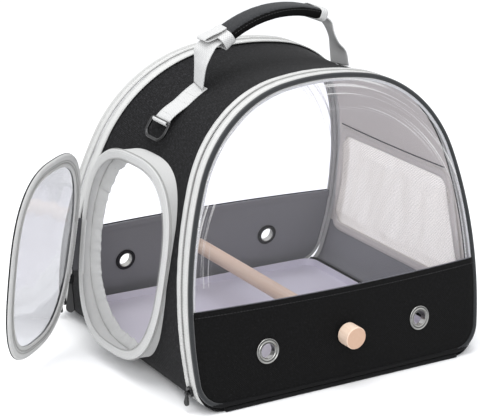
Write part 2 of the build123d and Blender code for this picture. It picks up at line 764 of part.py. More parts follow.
nodes = {
    "gusset_shell": gusset_shell,
    "base_panel": base_panel,
    "cabin_lining": cabin_lining,
    "base_piping": Compound(children=[base_welt(-1), base_welt(1)]),
    "base_board": base_board,
    "front_piping": piping,
    "front_hoop": hoop,
    "front_cover": front_cover,
    "front_board": front_board,
    "front_window": front_window,
    "rear_piping": to_rear(piping),
    "rear_hoop": to_rear(hoop),
    "rear_cover": rear_cover,
    "rear_board": rear_board,
    "rear_window": rear_window,
    "front_zip_panel_tape": front_zip[0],
    "front_zip_panel_coil": front_zip[1],
    "front_zip_body_coil": front_zip[2],
    "front_zip_body_tape": front_zip[3],
    "rear_zip_panel_tape": rear_zip[0],
    "rear_zip_panel_coil": rear_zip[1],
    "rear_zip_body_coil": rear_zip[2],
    "rear_zip_body_tape": rear_zip[3],
    "front_eyelets": pair(eyelet(-1, window_line)),
    "front_eyelet_washers": pair(eyelet_washer(-1, window_line)),
    "rear_eyelets": to_rear(pair(eyelet(-1, rear_window_line))),
    "rear_eyelet_washers": to_rear(pair(eyelet_washer(-1, rear_window_line))),
    "perch_dowel": perch_dowel,
    "perch_insert": perch_insert,
    "perch_washer": perch_washer,
    "perch_knob": perch_knob,
    "perch_screw": perch_screw,
    "door_collar": door_collar,
    "door_rim_tape": door_rim,
    "door_rim_coil": zipped(door_rim_coil),
    "door_flap_coil": opened(zipped(door_flap_coil)),
    "door_flap_tape": opened(door_flap_tape),
    "door_window": opened(door_window),
    "door_flap_cover": opened(door_flap_cover),
    "door_hinge_strip": opened(hinge_strip),
    "door_hinge_tab": hinge_tab,
    "front_zip_sliders": pair(front_slider),
    "front_left_pull": front_pull,
    "front_right_pull": to_right(front_pull),
    "rear_zip_sliders": pair(rear_slider),
    "rear_left_pull": rear_pull,
    "rear_right_pull": to_right(rear_pull),
    "door_zip_slider": opened(door_slider),
    "door_pull": opened(door_pull),
    "mesh_window": mesh_window,
    "mesh_binding": mesh_binding,
    "tray": tray,
    "left_webbing_tab": webbing_tab(),
    "left_dring": dring(),
    "right_webbing_tab": to_right(webbing_tab()),
    "right_dring": to_right(dring()),
    "handle_strap": handle_strap,
    "handle_grip": handle_grip,
}
os.makedirs("parts", exist_ok=True)
for node_name, node in nodes.items():
    write(node_name, node)
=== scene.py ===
"""Visual model of a soft-sided bird travel carrier: cloth, clear sheet, zippers, wood and metal."""
import logging
import math
from dataclasses import dataclass, field
from enum import Enum

import bmesh
import bpy
import numpy as np
from bpy.types import Material, Mesh, Node, NodeSocket, NodeTree, Object
from mathutils import Matrix, Vector, noise


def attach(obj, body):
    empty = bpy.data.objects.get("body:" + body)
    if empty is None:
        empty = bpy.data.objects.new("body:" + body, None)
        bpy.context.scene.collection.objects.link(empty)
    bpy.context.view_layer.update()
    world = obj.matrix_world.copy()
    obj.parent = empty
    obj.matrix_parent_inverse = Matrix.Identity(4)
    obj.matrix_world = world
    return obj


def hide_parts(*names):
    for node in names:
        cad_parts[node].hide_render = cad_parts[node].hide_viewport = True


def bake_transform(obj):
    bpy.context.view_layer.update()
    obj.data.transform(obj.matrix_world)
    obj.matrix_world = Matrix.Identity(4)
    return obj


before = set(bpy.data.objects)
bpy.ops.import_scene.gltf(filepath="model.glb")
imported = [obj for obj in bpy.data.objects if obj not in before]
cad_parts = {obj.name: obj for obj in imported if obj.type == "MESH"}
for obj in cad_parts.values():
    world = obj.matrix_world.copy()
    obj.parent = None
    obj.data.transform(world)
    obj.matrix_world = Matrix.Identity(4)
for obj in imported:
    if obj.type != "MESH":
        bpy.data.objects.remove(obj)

log = logging.getLogger("bird_carrier")
Array = np.ndarray
Rows = list[tuple[Array, Array, bool]]  # paths, their up directions, and whether each is closed
MM = 0.001  # the shapes are worked out in millimetres and made in metres
UV_NAME = "cloth"
HEIGHT = 300.0  # top of the arch
FOOT_LINE = -149.0  # foremost line of the front panel at the table
LEAN = 62.0  # how far an end panel leans in over that height
PANEL_LIFT = 5.6  # height of the end panels' lower edge
ZIP_FOOT = 9.6  # height at which the arch zippers start
EYELET = (92.0, 51.0)  # x and z of a panel's eyelets


# ---- shapes in millimetres
class Body(Enum):
    """Bodies of the carrier that pieces move with."""

    CARRIER = "carrier"
    FRONT = "front_panel"
    REAR = "rear_panel"
    DOOR = "side_door"
    HANDLE = "handle"


class End(Enum):
    """Which end panel of the carrier a piece belongs to; the value mirrors Y."""

    FRONT = 1.0
    REAR = -1.0


class Arch:
    """Arch that the side band follows, as tangent arcs, seen along Y."""

    crown, crown_radius = (0.0, 4.0), 296.0
    side, side_radius = (-228.0, 79.0), 400.0
    shoulder_radius = 130.0
    corner_radius = 28.0

    def __init__(self, lift: float = 0.0) -> None:
        """Works out the arcs.

        Args:
            lift: height of the arch's bottom edge above the table.
        """
        side, crown = self.side, self.crown
        corner_z = self.corner_radius + lift
        to_middle = self.side_radius - self.corner_radius
        corner = (side[0] + math.sqrt(to_middle**2 - (corner_z - side[1]) ** 2), corner_z)
        span = math.dist(side, crown)
        from_side = self.side_radius - self.shoulder_radius
        from_crown = self.crown_radius - self.shoulder_radius
        along = (from_side**2 - from_crown**2 + span**2) / (2 * span)
        off = math.sqrt(from_side**2 - along**2)
        ux, uz = (crown[0] - side[0]) / span, (crown[1] - side[1]) / span
        shoulder = (side[0] + along * ux - off * uz, side[1] + along * uz + off * ux)
        to_side = math.atan2(shoulder[1] - side[1], shoulder[0] - side[0])
        to_crown = math.atan2(shoulder[1] - crown[1], shoulder[0] - crown[0])
        to_corner = math.atan2(corner[1] - side[1], corner[0] - side[0])
        self.shoulder = shoulder
        self.corner = corner
        self.runs = [
            (crown, self.crown_radius, math.pi / 2, to_crown),
            (shoulder, self.shoulder_radius, to_crown, to_side),
            (side, self.side_radius, to_side, to_corner),
            (corner, self.corner_radius, to_corner, -math.pi / 2),
        ]
        self.ends = np.cumsum([0.0] + [radius * (a - b) for _, radius, a, b in self.runs])
        self.half = float(self.ends[-1])

    def at(self, s: Array, offset: float | Array = 0.0) -> tuple[Array, ...]:
        """Points and outward normals of the arch.

        Args:
            s: distance along the arch from its crown, negative on the left.
            offset: how far outside the arch.

        Returns:
            x, z, and the normal's x and z.
        """
        s = np.asarray(s, float)
        reach = np.clip(np.abs(s), 0, self.half)
        side = np.where(s < 0, -1.0, 1.0)
        x, z, nx, nz = (np.zeros_like(reach) for _ in range(4))
        for i, (centre, radius, start, _) in enumerate(self.runs):
            here = (reach >= self.ends[i]) & (reach <= self.ends[i + 1] + 1e-9)
            angle = start - (reach - self.ends[i]) / radius
            nx = np.where(here, np.cos(angle), nx)
            nz = np.where(here, np.sin(angle), nz)
            x = np.where(here, centre[0] + radius * np.cos(angle), x)
            z = np.where(here, centre[1] + radius * np.sin(angle), z)
        return side * (x + nx * offset), z + nz * offset, side * nx, nz

    def reach_at_height(self, z: float) -> float:
        """Distance from the crown down to height z."""
        s = np.linspace(0, self.half, 2000)
        return float(np.interp(-z, -self.at(s)[1], s))

    def width_at(self, z: Array, offset: float) -> Array:
        """Half width at heights z of the arch grown by offset."""
        s = np.linspace(0, self.half, 4000)
        x, height, _, _ = self.at(s, offset)
        return np.interp(-np.asarray(z, float), -height, x)


ARCH = Arch()
PANEL_ARCH = Arch(PANEL_LIFT)


def stack(*axes: Array) -> Array:
    """Points from their coordinates, which lie in the last axis."""
    return np.stack(axes, -1)


def front_y(z: float | Array) -> float | Array:
    """Foremost line of the front panel at height z."""
    return FOOT_LINE + z * LEAN / HEIGHT


def smooth(value: Array, low: float, high: float) -> Array:
    """Smooth step from 0 at low to 1 at high."""
    t = np.clip((np.asarray(value, float) - low) / (high - low), 0, 1)
    return t * t * (3 - 2 * t)


def ripple(points: Array, scale: float, seed: float) -> Array:
    """Smooth noise from -1 to 1 at points in millimetres.

    Args:
        points: array of points.
        scale: size of one ripple.
        seed: picks the pattern.

    Returns:
        One value for each point.
    """
    flat = np.asarray(points, float).reshape(-1, points.shape[-1])
    shift = Vector((seed * 7.3, seed * 3.1, seed * 5.7))
    found = [noise.noise(Vector((*p, 0.0)[:3]) / scale + shift) for p in flat]
    return np.array(found).reshape(points.shape[:-1])


@dataclass(frozen=True)
class Band:
    """Soft side band between the two end panels: it sags between its hoops and puckers at its seams."""

    crown_sag: float = 5.0
    shoulder_sag: float = 3.4
    wall_sag: float = 1.0
    front_edge: float = 17.1
    rear_edge: float = 16.1

    def edges(self, s: Array, front: float, rear: float) -> tuple[Array, Array]:
        """Front and rear Y at s, those margins behind the panels' foremost lines."""
        z = ARCH.at(s)[1]
        return front_y(z) + front, -front_y(z) - rear

    def sag(self, s: Array, y: Array) -> Array:
        """How far the cloth hangs inside the arch at s and y."""
        start, end = self.edges(s, self.front_edge, self.rear_edge)
        t = np.clip((y - start) / (end - start), 0, 1)
        reach = np.abs(s)
        depth = self.crown_sag + (self.shoulder_sag - self.crown_sag) * smooth(reach, 40, 150)
        depth = depth + (self.wall_sag - depth) * smooth(reach, 150, 260)
        depth = depth * (1 - smooth(reach, 380, ARCH.half - 20))
        return depth * np.sin(np.pi * t) ** 0.8

    def pucker(self, s: Array, y: Array, seed: float) -> Array:
        """Soft folds, with fine gathers beside the zipper seams."""
        start, end = self.edges(s, self.front_edge, self.rear_edge)
        edge = np.minimum(y - start, end - y)
        wide = ripple(stack(s, y * 0.6), 62.0, seed) * 0.9 * smooth(edge, 0, 30)
        long = ripple(stack(s * 1.6, y * 0.35), 34.0, seed + 4) * 0.45 * smooth(edge, 0, 22)
        gathers = ripple(stack(s, y * 0.2), 8.0, seed + 9) * 0.35
        fade = smooth(edge, -0.5, 3.0) * (1 - smooth(edge, 5, 20))
        calm = 1 - smooth(np.abs(s), 400, ARCH.half - 20)
        return (wide + long + gathers * fade) * calm

    def place(self, s: Array, y: Array, offset: float, seed: float | None = None) -> Array:
        """Points of the cloth in space.

        Args:
            s: distance along the arch from its crown.
            y: depth.
            offset: outside the band's surface.
            seed: pattern of the puckers, or None for a cloth without them.

        Returns:
            Points with X, Y and Z in the last axis.
        """
        s, y = np.broadcast_arrays(np.asarray(s, float), np.asarray(y, float))
        depth = offset - self.sag(s, y)
        if seed is not None:
            depth = depth + self.pucker(s, y, seed)
        x, z, _, _ = ARCH.at(s, depth)
        return stack(x, y, z)


BAND = Band()


@dataclass(frozen=True)
class DoorFrame:
    """Place and outline of the round side door. Local x is forward, y up and z outward."""

    origin: Vector = Vector((-180.0, -8.6, 119.0))
    half_width: float = 74.4
    half_height: float = 101.5
    squareness: float = 2.8
    taper: float = 0.05
    yaw: float = 4.0
    tilt: float = 5.6
    open_angle: float = 56.0
    hinge: tuple[float, float, float] = (-77.0, -12.0, 5.8)

    def axes(self) -> tuple[Vector, Vector, Vector]:
        """Forward, up and outward directions."""
        yaw, tilt = math.radians(self.yaw), math.radians(self.tilt)
        rearward = Vector((-math.sin(yaw), math.cos(yaw), 0))
        upward = Vector((math.sin(tilt), 0, math.cos(tilt)))
        outward = upward.cross(rearward).normalized()
        forward = -rearward
        return forward, outward.cross(forward), outward

    def angles(self, count: int) -> Array:
        """Angles that part the outline into equal lengths."""
        dense = np.linspace(0, 2 * np.pi, 4001)
        x, y = self.outline(dense, 0.0)
        length = np.concatenate([[0], np.cumsum(np.hypot(np.diff(x), np.diff(y)))])
        return np.interp(np.linspace(0, length[-1], count, endpoint=False), length, dense)

    def outline(self, angle: Array, inset: float | Array) -> tuple[Array, Array]:
        """Local x and y of the outline moved in by inset."""
        c, s = np.cos(angle), np.sin(angle)
        up = np.abs(s) ** (2 / self.squareness) * np.sign(s)
        across = np.abs(c) ** (2 / self.squareness) * np.sign(c)
        return (self.half_width - inset) * across * (1 + self.taper * up), (self.half_height - inset) * up

    def world(self, x: Array, y: Array, z: Array, is_open: bool = False) -> Array:
        """Points in space for local x, y and z, shut or standing open."""
        f, u, o = (np.array(axis) for axis in self.axes())
        x, y, z = np.broadcast_arrays(*(np.asarray(v, float) for v in (x, y, z)))
        points = np.array(self.origin) + x[..., None] * f + y[..., None] * u + z[..., None] * o
        if is_open:
            hinge = np.array(self.origin) + self.hinge[0] * f + self.hinge[1] * u + self.hinge[2] * o
            a = math.radians(-self.open_angle)
            turn = np.array([[math.cos(a), -math.sin(a), 0], [math.sin(a), math.cos(a), 0], [0, 0, 1]])
            points = (points - hinge) @ turn.T + hinge
        return points

    def outward(self, is_open: bool) -> Array:
        """Direction away from the cabin, shut or standing open."""
        return self.world(0.0, 0.0, 1.0, is_open) - self.world(0.0, 0.0, 0.0, is_open)

    def band_level(self, x: Array, y: Array) -> Array:
        """Local z at which a line along the door's outward axis meets the side band."""
        level = np.zeros(np.shape(x))
        s = np.linspace(-ARCH.half, 0, 3000)
        ax, az, _, _ = ARCH.at(s)
        for _ in range(12):
            p = self.world(x, y, level)
            wall = np.interp(p[..., 2], az, ax)
            level = level + (p[..., 0] - wall)
        return level


DOOR = DoorFrame()


# ---- mesh makers
def make_object(name: str, mesh: Mesh) -> Object:
    """Links a mesh to the scene as a new object."""
    found = bpy.data.objects.new(name, mesh)
    bpy.context.scene.collection.objects.link(found)
    return found


def net(name: str, points: Array, uv: Array | None = None, wrap_rows: bool = False,
        wrap_cols: bool = False, caps: bool = False) -> Object:
    """Makes a mesh from rows and columns of points.

    Args:
        name: object's name.
        points: rows x columns x 3, in millimetres.
        uv: rows x columns x 2, in millimetres; worked out from the points' spacing if None.
        wrap_rows: the last row joins the first.
        wrap_cols: the last column joins the first.
        caps: closes the first and last rows of a net whose columns wrap.

    Returns:
        The object.
    """
    rows, cols = points.shape[:2]
    if uv is None:
        along = np.linalg.norm(np.diff(points, axis=0), axis=2).mean(1)
        across = np.linalg.norm(np.diff(points, axis=1), axis=2).mean(0)
        u = np.concatenate([[0], np.cumsum(along)])
        v = np.concatenate([[0], np.cumsum(across)])
        uv = np.stack(np.meshgrid(u, v, indexing="ij"), -1)
    row_step = np.linalg.norm(points[0] - points[-1], axis=1).mean()
    col_step = np.linalg.norm(points[:, 0] - points[:, -1], axis=1).mean()
    faces, loops = [], []
    for i in range(rows if wrap_rows else rows - 1):
        for j in range(cols if wrap_cols else cols - 1):
            k, m = (i + 1) % rows, (j + 1) % cols
            faces.append((i * cols + j, k * cols + j, k * cols + m, i * cols + m))
            far_u = uv[k, j] + (np.array([uv[-1, j, 0] + row_step, 0]) if k == 0 else 0)
            far_v = uv[i, m] + (np.array([0, uv[i, -1, 1] + col_step]) if m == 0 else 0)
            loops += [uv[i, j], far_u, far_u + far_v - uv[i, j], far_v]
    if caps:
        faces += [tuple(range(cols)), tuple(reversed(range((rows - 1) * cols, rows * cols)))]
        loops += [uv[0, j] for j in range(cols)] + [uv[-1, j] for j in reversed(range(cols))]
    mesh = bpy.data.meshes.new(name)
    mesh.from_pydata((points.reshape(-1, 3) * MM).tolist(), [], faces)
    layer = mesh.uv_layers.new(name=UV_NAME)
    layer.data.foreach_set("uv", (np.array(loops) * MM).astype(np.float32).ravel())
    mesh.shade_smooth()
    return make_object(name, mesh)


def area_of(piece: Object) -> float:
    """Surface of a mesh in square metres."""
    return sum(face.area for face in piece.data.polygons)


def bake(piece: Object) -> None:
    """Turns the piece with its modifiers into a plain mesh and takes the modifiers off."""
    graph = bpy.context.evaluated_depsgraph_get()
    mesh = bpy.data.meshes.new_from_object(piece.evaluated_get(graph), depsgraph=graph)
    piece.modifiers.clear()
    piece.data = mesh


def outward_normals(piece: Object) -> Object:
    """Points every face of a closed mesh outwards."""
    work = bmesh.new()
    work.from_mesh(piece.data)
    bmesh.ops.remove_doubles(work, verts=work.verts, dist=1e-6)
    bmesh.ops.recalc_face_normals(work, faces=work.faces)
    work.to_mesh(piece.data)
    work.free()
    return piece


def thicken(piece: Object, thickness: float, facing: Vector | None = None) -> float:
    """Gives a sheet its thickness behind its outer face.

    Args:
        piece: open sheet.
        thickness: in millimetres.
        facing: direction that the outer face looks, to turn the sheet round if need be.

    Returns:
        The open sheet's area in square metres.
    """
    area = area_of(piece)
    if facing is not None:
        total = sum((face.normal * face.area for face in piece.data.polygons), Vector())
        if total.dot(facing) < 0:
            piece.data.flip_normals()
    solid = piece.modifiers.new("thickness", "SOLIDIFY")
    solid.thickness = thickness * MM
    solid.offset = -1.0
    solid.use_even_offset = True
    bake(piece)
    return area


def cut(piece: Object, cutters: list[Object]) -> None:
    """Cuts closed cutters out of a piece and removes them."""
    for cutter in cutters:
        knife = piece.modifiers.new("cut", "BOOLEAN")
        knife.object = cutter
        knife.operation = "DIFFERENCE"
        knife.solver = "EXACT"
    bake(piece)
    for cutter in cutters:
        bpy.data.objects.remove(cutter)


def prism(name: str, base: Array, top: Array) -> Object:
    """Closed prism between two rings of points in millimetres."""
    block = net(name, np.stack([base, top]), wrap_cols=True, caps=True)
    return outward_normals(block)


def sweep(name: str, path: Array, up: Array, section: Array, closed: bool) -> Object:
    """Sweeps a closed section along a path.

    Args:
        name: object's name.
        path: n x 3 points.
        up: n x 3 directions that the section's second axis follows.
        section: m x 2 points, first axis across the path.
        closed: the path joins its own start.

    Returns:
        The object, closed at its ends.
    """
    ahead = np.roll(path, -1, 0) - np.roll(path, 1, 0)
    if not closed:
        ahead[0], ahead[-1] = path[1] - path[0], path[-1] - path[-2]
    ahead /= np.linalg.norm(ahead, axis=1)[:, None]
    across = np.cross(ahead, up)
    across /= np.linalg.norm(across, axis=1)[:, None]
    lift = np.cross(across, ahead)
    rings = path[:, None] + section[None, :, :1] * across[:, None] + section[None, :, 1:] * lift[:, None]
    made = net(name, rings, wrap_rows=closed, wrap_cols=True, caps=not closed)
    return outward_normals(made)


def circle(radius: float, count: int) -> Array:
    """Points of a circle."""
    a = np.linspace(0, 2 * np.pi, count, endpoint=False)
    return stack(radius * np.cos(a), radius * np.sin(a))


def rounded_bar(half_width: float, half_height: float, count: int) -> Array:
    """Points round a flat bar with rounded edges."""
    c, s = circle(1.0, count).T
    across, rise = np.abs(c) ** 0.45 * np.sign(c), np.abs(s) ** 0.6 * np.sign(s)
    return stack(across * half_width, rise * half_height)


def flat_section(width: float, thickness: float) -> Array:
    """Section of a woven strip: flat faces, rounded selvedges, its middle at the origin."""
    r = thickness / 2
    x = np.linspace(-width / 2 + r, width / 2 - r, 8)
    top = stack(x, x * 0 + r)
    a = np.linspace(np.pi / 2, -np.pi / 2, 5)[1:-1]
    nose = stack(width / 2 - r + r * np.cos(a), r * np.sin(a))
    return np.concatenate([top, nose, -top, -nose])


# ---- node helpers
def linear(code: str) -> tuple[float, float, float, float]:
    """Turns an sRGB hex colour into linear RGBA."""
    parts = [int(code.lstrip("#")[i : i + 2], 16) / 255 for i in (0, 2, 4)]
    return (*(c / 12.92 if c <= 0.04045 else ((c + 0.055) / 1.055) ** 2.4 for c in parts), 1.0)


def add(tree: NodeTree, kind: str, inputs: dict | None = None, **settings: str | bool) -> Node:
    """Adds one node.

    Args:
        tree: node tree.
        kind: node's type, for a shader node without its prefix.
        inputs: its sockets by name or number, each a value, another node's output, or another
            node, which means its first output.
        **settings: its properties.

    Returns:
        The node.
    """
    made = tree.nodes.new(kind if "Node" in kind else f"ShaderNode{kind}")
    for key, value in settings.items():
        setattr(made, key, value)
    for key, value in (inputs or {}).items():
        if isinstance(value, Node):
            value = value.outputs[0]
        if isinstance(value, NodeSocket):
            tree.links.new(value, made.inputs[key])
        else:
            made.inputs[key].default_value = value
    return made


def new_material(name: str) -> tuple[Material, NodeTree]:
    """Empty node material and its tree."""
    made = bpy.data.materials.new(name)
    made.use_nodes = True
    made.node_tree.nodes.clear()
    return made, made.node_tree


@dataclass(frozen=True)
class Woven:
    """Cloth woven from spun or filament yarn, seen as crossing threads with lighter and darker yarns.

    The pitch is the spacing of the threads in millimetres, drawn a little coarser than the real one
    where that is too fine to show.
    """

    name: str
    colour: str
    fleck: str
    pitch: tuple[float, float]
    fleck_share: float
    depth: float
    roughness: float
    sheen: float

    def build(self) -> Material:
        """Makes the material on the piece's own UV map, which is in metres."""
        made, tree = new_material(self.name)
        uv = add(tree, "UVMap", uv_map=UV_NAME)
        scale = (1000 / self.pitch[0], 1000 / self.pitch[1], 1)
        threads = add(tree, "Mapping", {"Vector": uv, "Scale": scale})
        axes = add(tree, "SeparateXYZ", {0: threads})
        waves = []
        for axis in (0, 1):
            turn = add(tree, "Math", {0: axes.outputs[axis], 1: math.pi}, operation="MULTIPLY")
            waves.append(add(tree, "Math", {0: turn}, operation="SINE"))
        cross = add(tree, "Math", {0: waves[0], 1: waves[1]}, operation="MULTIPLY")
        relief = add(tree, "Math", {0: cross, 1: 0.5, 2: 0.5}, operation="MULTIPLY_ADD")
        yarns = []
        for stretch in ((0.3, 1.0, 1.0), (1.0, 0.3, 1.0)):
            drawn = add(tree, "Mapping", {"Vector": threads, "Scale": stretch})
            yarns.append(add(tree, "TexNoise", {
                "Vector": drawn, "Scale": 1.1, "Detail": 2.0, "Roughness": 0.7}))
        pick = add(tree, "Mix", {0: relief, 2: yarns[0], 3: yarns[1]}, data_type="FLOAT")
        limit = 1 - self.fleck_share * 0.55
        flecks = add(tree, "MapRange", {"Value": pick, "From Min": limit - 0.3, "From Max": limit + 0.1},
                     interpolation_type="SMOOTHSTEP")
        base = add(tree, "Mix", {
            0: flecks, 6: linear(self.colour), 7: linear(self.fleck)}, data_type="RGBA")
        # painted shade: the colour darkens where the threads dip and lightens a little on their crossings
        shade = add(tree, "MapRange", {"Value": relief, "To Min": 0.8, "To Max": 1.08})
        toned = add(tree, "VectorMath", {0: base.outputs[2], "Scale": shade}, operation="SCALE")
        bump = add(tree, "Bump", {"Height": relief, "Distance": self.depth * MM, "Strength": 0.7})
        shader = add(tree, "BsdfPrincipled", {
            "Base Color": toned, "Roughness": self.roughness, "Normal": bump,
            "Sheen Weight": self.sheen, "Sheen Roughness": 0.5, "Specular IOR Level": 0.15})
        add(tree, "OutputMaterial", {0: shader})
        return made


@dataclass(frozen=True)
class Moulded:
    """Moulded plastic, rubber, painted or plated metal: fine grain; metals get a painted reflection,
    lighter where they mirror what lies above and darker where they mirror what lies below.
    """

    name: str
    colour: str
    shade: str
    roughness: float = 0.4
    spread: float = 0.08
    metallic: float = 0.0
    grain: float = 0.4
    relief: float = 0.01
    coat: float = 0.0
    ior: float = 1.5
    bead: float = 0.0
    bead_radius: float = 12.0
    bead_height: float = 0.3

    def build(self) -> Material:
        """Makes the material on Object coordinates."""
        made, tree = new_material(self.name)
        place = add(tree, "TexCoord")
        fine = add(tree, "TexNoise", {
            "Vector": place.outputs["Object"], "Scale": 1000 / self.grain, "Detail": 3.0})
        broad = add(tree, "TexNoise", {
            "Vector": place.outputs["Object"], "Scale": 45.0, "Detail": 4.0, "Roughness": 0.6})
        tone = add(tree, "Mix", {
            0: broad, 6: linear(self.colour), 7: linear(self.shade)}, data_type="RGBA")
        rough = add(tree, "MapRange", {
            "Value": broad, "From Min": 0.3, "From Max": 0.7,
            "To Min": self.roughness - self.spread, "To Max": self.roughness + self.spread})
        bump = add(tree, "Bump", {"Height": fine, "Distance": self.relief * MM, "Strength": 0.6})
        colour = tone.outputs[2]
        if self.bead:
            bump = self.rolled_rim(tree, place.outputs["Object"], bump)
        # painted reflection: a metal's colour is scaled up where its mirror direction points upward and
        # down where it points downward, standing in for a darker room below
        if self.metallic:
            sight = add(tree, "NewGeometry")
            mirror = add(tree, "VectorMath", {0: sight.outputs["Incoming"], 1: bump}, operation="REFLECT")
            level = add(tree, "SeparateXYZ", {"Vector": mirror})
            lit = add(tree, "MapRange", {
                "Value": level.outputs["Z"], "From Min": 0.6, "From Max": -0.6,
                "To Min": 0.3, "To Max": 1.7})
            sheen = add(tree, "VectorMath", {0: colour, "Scale": lit}, operation="SCALE")
            colour = sheen.outputs[0]
        shader = add(tree, "BsdfPrincipled", {
            "Base Color": colour, "Roughness": rough, "Metallic": self.metallic,
            "Normal": bump, "Coat Weight": self.coat})
        if not self.metallic:
            shader.inputs["IOR"].default_value = self.ior
        add(tree, "OutputMaterial", {0: shader})
        return made

    def rolled_rim(self, tree: NodeTree, spot: NodeSocket, grain: Node) -> Node:
        """Rolled beads round the two eyelets of a panel, as relief over the grain."""
        axes = add(tree, "SeparateXYZ", {"Vector": spot})
        side = add(tree, "Math", {0: axes.outputs["X"]}, operation="ABSOLUTE")
        flat = add(tree, "CombineXYZ", {"X": side, "Y": axes.outputs["Z"]})
        spoke = add(tree, "VectorMath", {
            0: flat, 1: (EYELET[0] * MM, EYELET[1] * MM, 0.0)}, operation="DISTANCE")
        pace = 2 * math.pi / self.bead
        phase = add(tree, "Math", {
            0: spoke.outputs["Value"], 1: pace / MM, 2: -pace * self.bead_radius}, operation="MULTIPLY_ADD")
        wave = add(tree, "Math", {0: phase}, operation="COSINE")
        return add(tree, "Bump", {
            "Height": wave, "Distance": self.bead_height * MM, "Strength": 1.0, "Normal": grain})


@dataclass(frozen=True)
class Timber:
    """Bare sanded beech: pale pinkish wood, straight grain along Y, darker rays and darker end grain,
    deepened as painted shade.
    """

    name: str = "sanded_beech"
    light: str = "#efdccb"
    dark: str = "#dbbba2"
    ray: str = "#c09c80"
    end_grain_and_shade: str = "#b8947c"
    ring: float = 2.6
    roughness: float = 0.62

    def build(self) -> Material:
        """Makes the material on Object coordinates, grain along Y."""
        made, tree = new_material(self.name)
        place = add(tree, "TexCoord")
        along = add(tree, "Mapping", {
            "Vector": place.outputs["Object"], "Scale": (1000 / self.ring, 22.0, 1000 / self.ring)})
        rings = add(tree, "TexNoise", {"Vector": along, "Scale": 1.0, "Detail": 3.0, "Distortion": 0.6})
        rays_at = add(tree, "Mapping", {
            "Vector": place.outputs["Object"], "Scale": (2600.0, 380.0, 2600.0)})
        rays = add(tree, "TexNoise", {"Vector": rays_at, "Scale": 1.0})
        share = add(tree, "MapRange", {"Value": rays, "From Min": 0.62, "From Max": 0.78, "To Max": 0.55})
        tone = add(tree, "Mix", {0: rings, 6: linear(self.light), 7: linear(self.dark)}, data_type="RGBA")
        flecked = add(tree, "Mix", {0: share, 6: tone.outputs[2], 7: linear(self.ray)}, data_type="RGBA")
        # faces across the grain take the end grain tone: darker real end grain, deepened as painted shade
        # on the knob's face
        facing = add(tree, "SeparateXYZ", {"Vector": place.outputs["Normal"]})
        along_y = add(tree, "Math", {0: facing.outputs["Y"]}, operation="ABSOLUTE")
        cut_end = add(tree, "MapRange", {
            "Value": along_y, "From Min": 0.75, "From Max": 0.92, "To Max": 0.8})
        ended = add(tree, "Mix", {
            0: cut_end, 6: flecked.outputs[2], 7: linear(self.end_grain_and_shade)}, data_type="RGBA")
        bump = add(tree, "Bump", {"Height": rings, "Distance": 0.03 * MM, "Strength": 0.5})
        shader = add(tree, "BsdfPrincipled", {
            "Base Color": ended.outputs[2], "Roughness": self.roughness, "Normal": bump,
            "Specular IOR Level": 0.35})
        add(tree, "OutputMaterial", {0: shader})
        return made


@dataclass(frozen=True)
class ClearSheet:
    """Clear soft PVC sheet, calendered: nearly unseen face on, glossy where it curves away."""

    name: str = "clear_soft_pvc"
    tint: str = "#fcfcfe"
    gloss: str = "#fbfbfb"
    haze: float = 0.018
    clarity: float = 0.8
    roughness: float = 0.07
    highlight_centre: tuple[float, float, float] = (0.0, 0.12, 0.0)
    highlight_pitch: float = 1.8
    highlight_start: float = 0.146
    highlight_full: float = 0.156

    def build(self) -> Material:
        """Makes the material; slow waves bend its reflections, and painted highlights in crease-like lines
        by the upper rim shine white.
        """
        made, tree = new_material(self.name)
        uv = add(tree, "UVMap", uv_map=UV_NAME)
        waves = add(tree, "TexNoise", {"Vector": uv, "Scale": 14.0, "Detail": 1.0})
        bump = add(tree, "Bump", {"Height": waves, "Distance": 6 * MM, "Strength": 0.35})
        edge = add(tree, "LayerWeight", {"Blend": 0.5, "Normal": bump})
        steep = add(tree, "Math", {0: edge.outputs["Facing"], 1: 4.0}, operation="POWER")
        share = add(tree, "Math", {
            0: steep, 1: self.clarity, 2: self.haze}, operation="MULTIPLY_ADD", use_clamp=True)
        # painted highlight: crease-like rings near the upper rim raise the mirror share, so they shine
        # white
        spoke = add(tree, "VectorMath", {0: uv, 1: self.highlight_centre}, operation="SUBTRACT")
        reach = add(tree, "VectorMath", {0: spoke}, operation="LENGTH")
        parts = add(tree, "SeparateXYZ", {"Vector": spoke})
        turn = add(tree, "Math", {0: parts.outputs["Y"], 1: parts.outputs["X"]}, operation="ARCTAN2")
        ring = add(tree, "Math", {
            0: reach.outputs["Value"], 1: 1000 / self.highlight_pitch}, operation="MULTIPLY")
        rolled = add(tree, "CombineXYZ", {"X": ring, "Y": turn})
        lines = add(tree, "TexNoise", {"Vector": rolled, "Scale": 1.0, "Detail": 1.5})
        crease_highlight = add(tree, "MapRange", {"Value": lines, "From Min": 0.56, "From Max": 0.7, "To Max": 0.6})
        by_rim = add(tree, "MapRange", {
            "Value": reach.outputs["Value"], "From Min": self.highlight_start, "From Max": self.highlight_full})
        upper = add(tree, "Math", {0: parts.outputs["Y"], 1: 0.0}, operation="GREATER_THAN")
        arch = add(tree, "Math", {0: by_rim, 1: upper}, operation="MULTIPLY")
        shine = add(tree, "Math", {
            0: crease_highlight, 1: arch, 2: share}, operation="MULTIPLY_ADD", use_clamp=True)
        through = add(tree, "BsdfTransparent", {"Color": linear(self.tint)})
        surface = add(tree, "BsdfPrincipled", {
            "Base Color": linear(self.gloss), "Roughness": self.roughness, "Normal": bump,
            "Metallic": 1.0})
        mixed = add(tree, "MixShader", {0: shine, 1: through, 2: surface})
        add(tree, "OutputMaterial", {0: mixed})
        return made


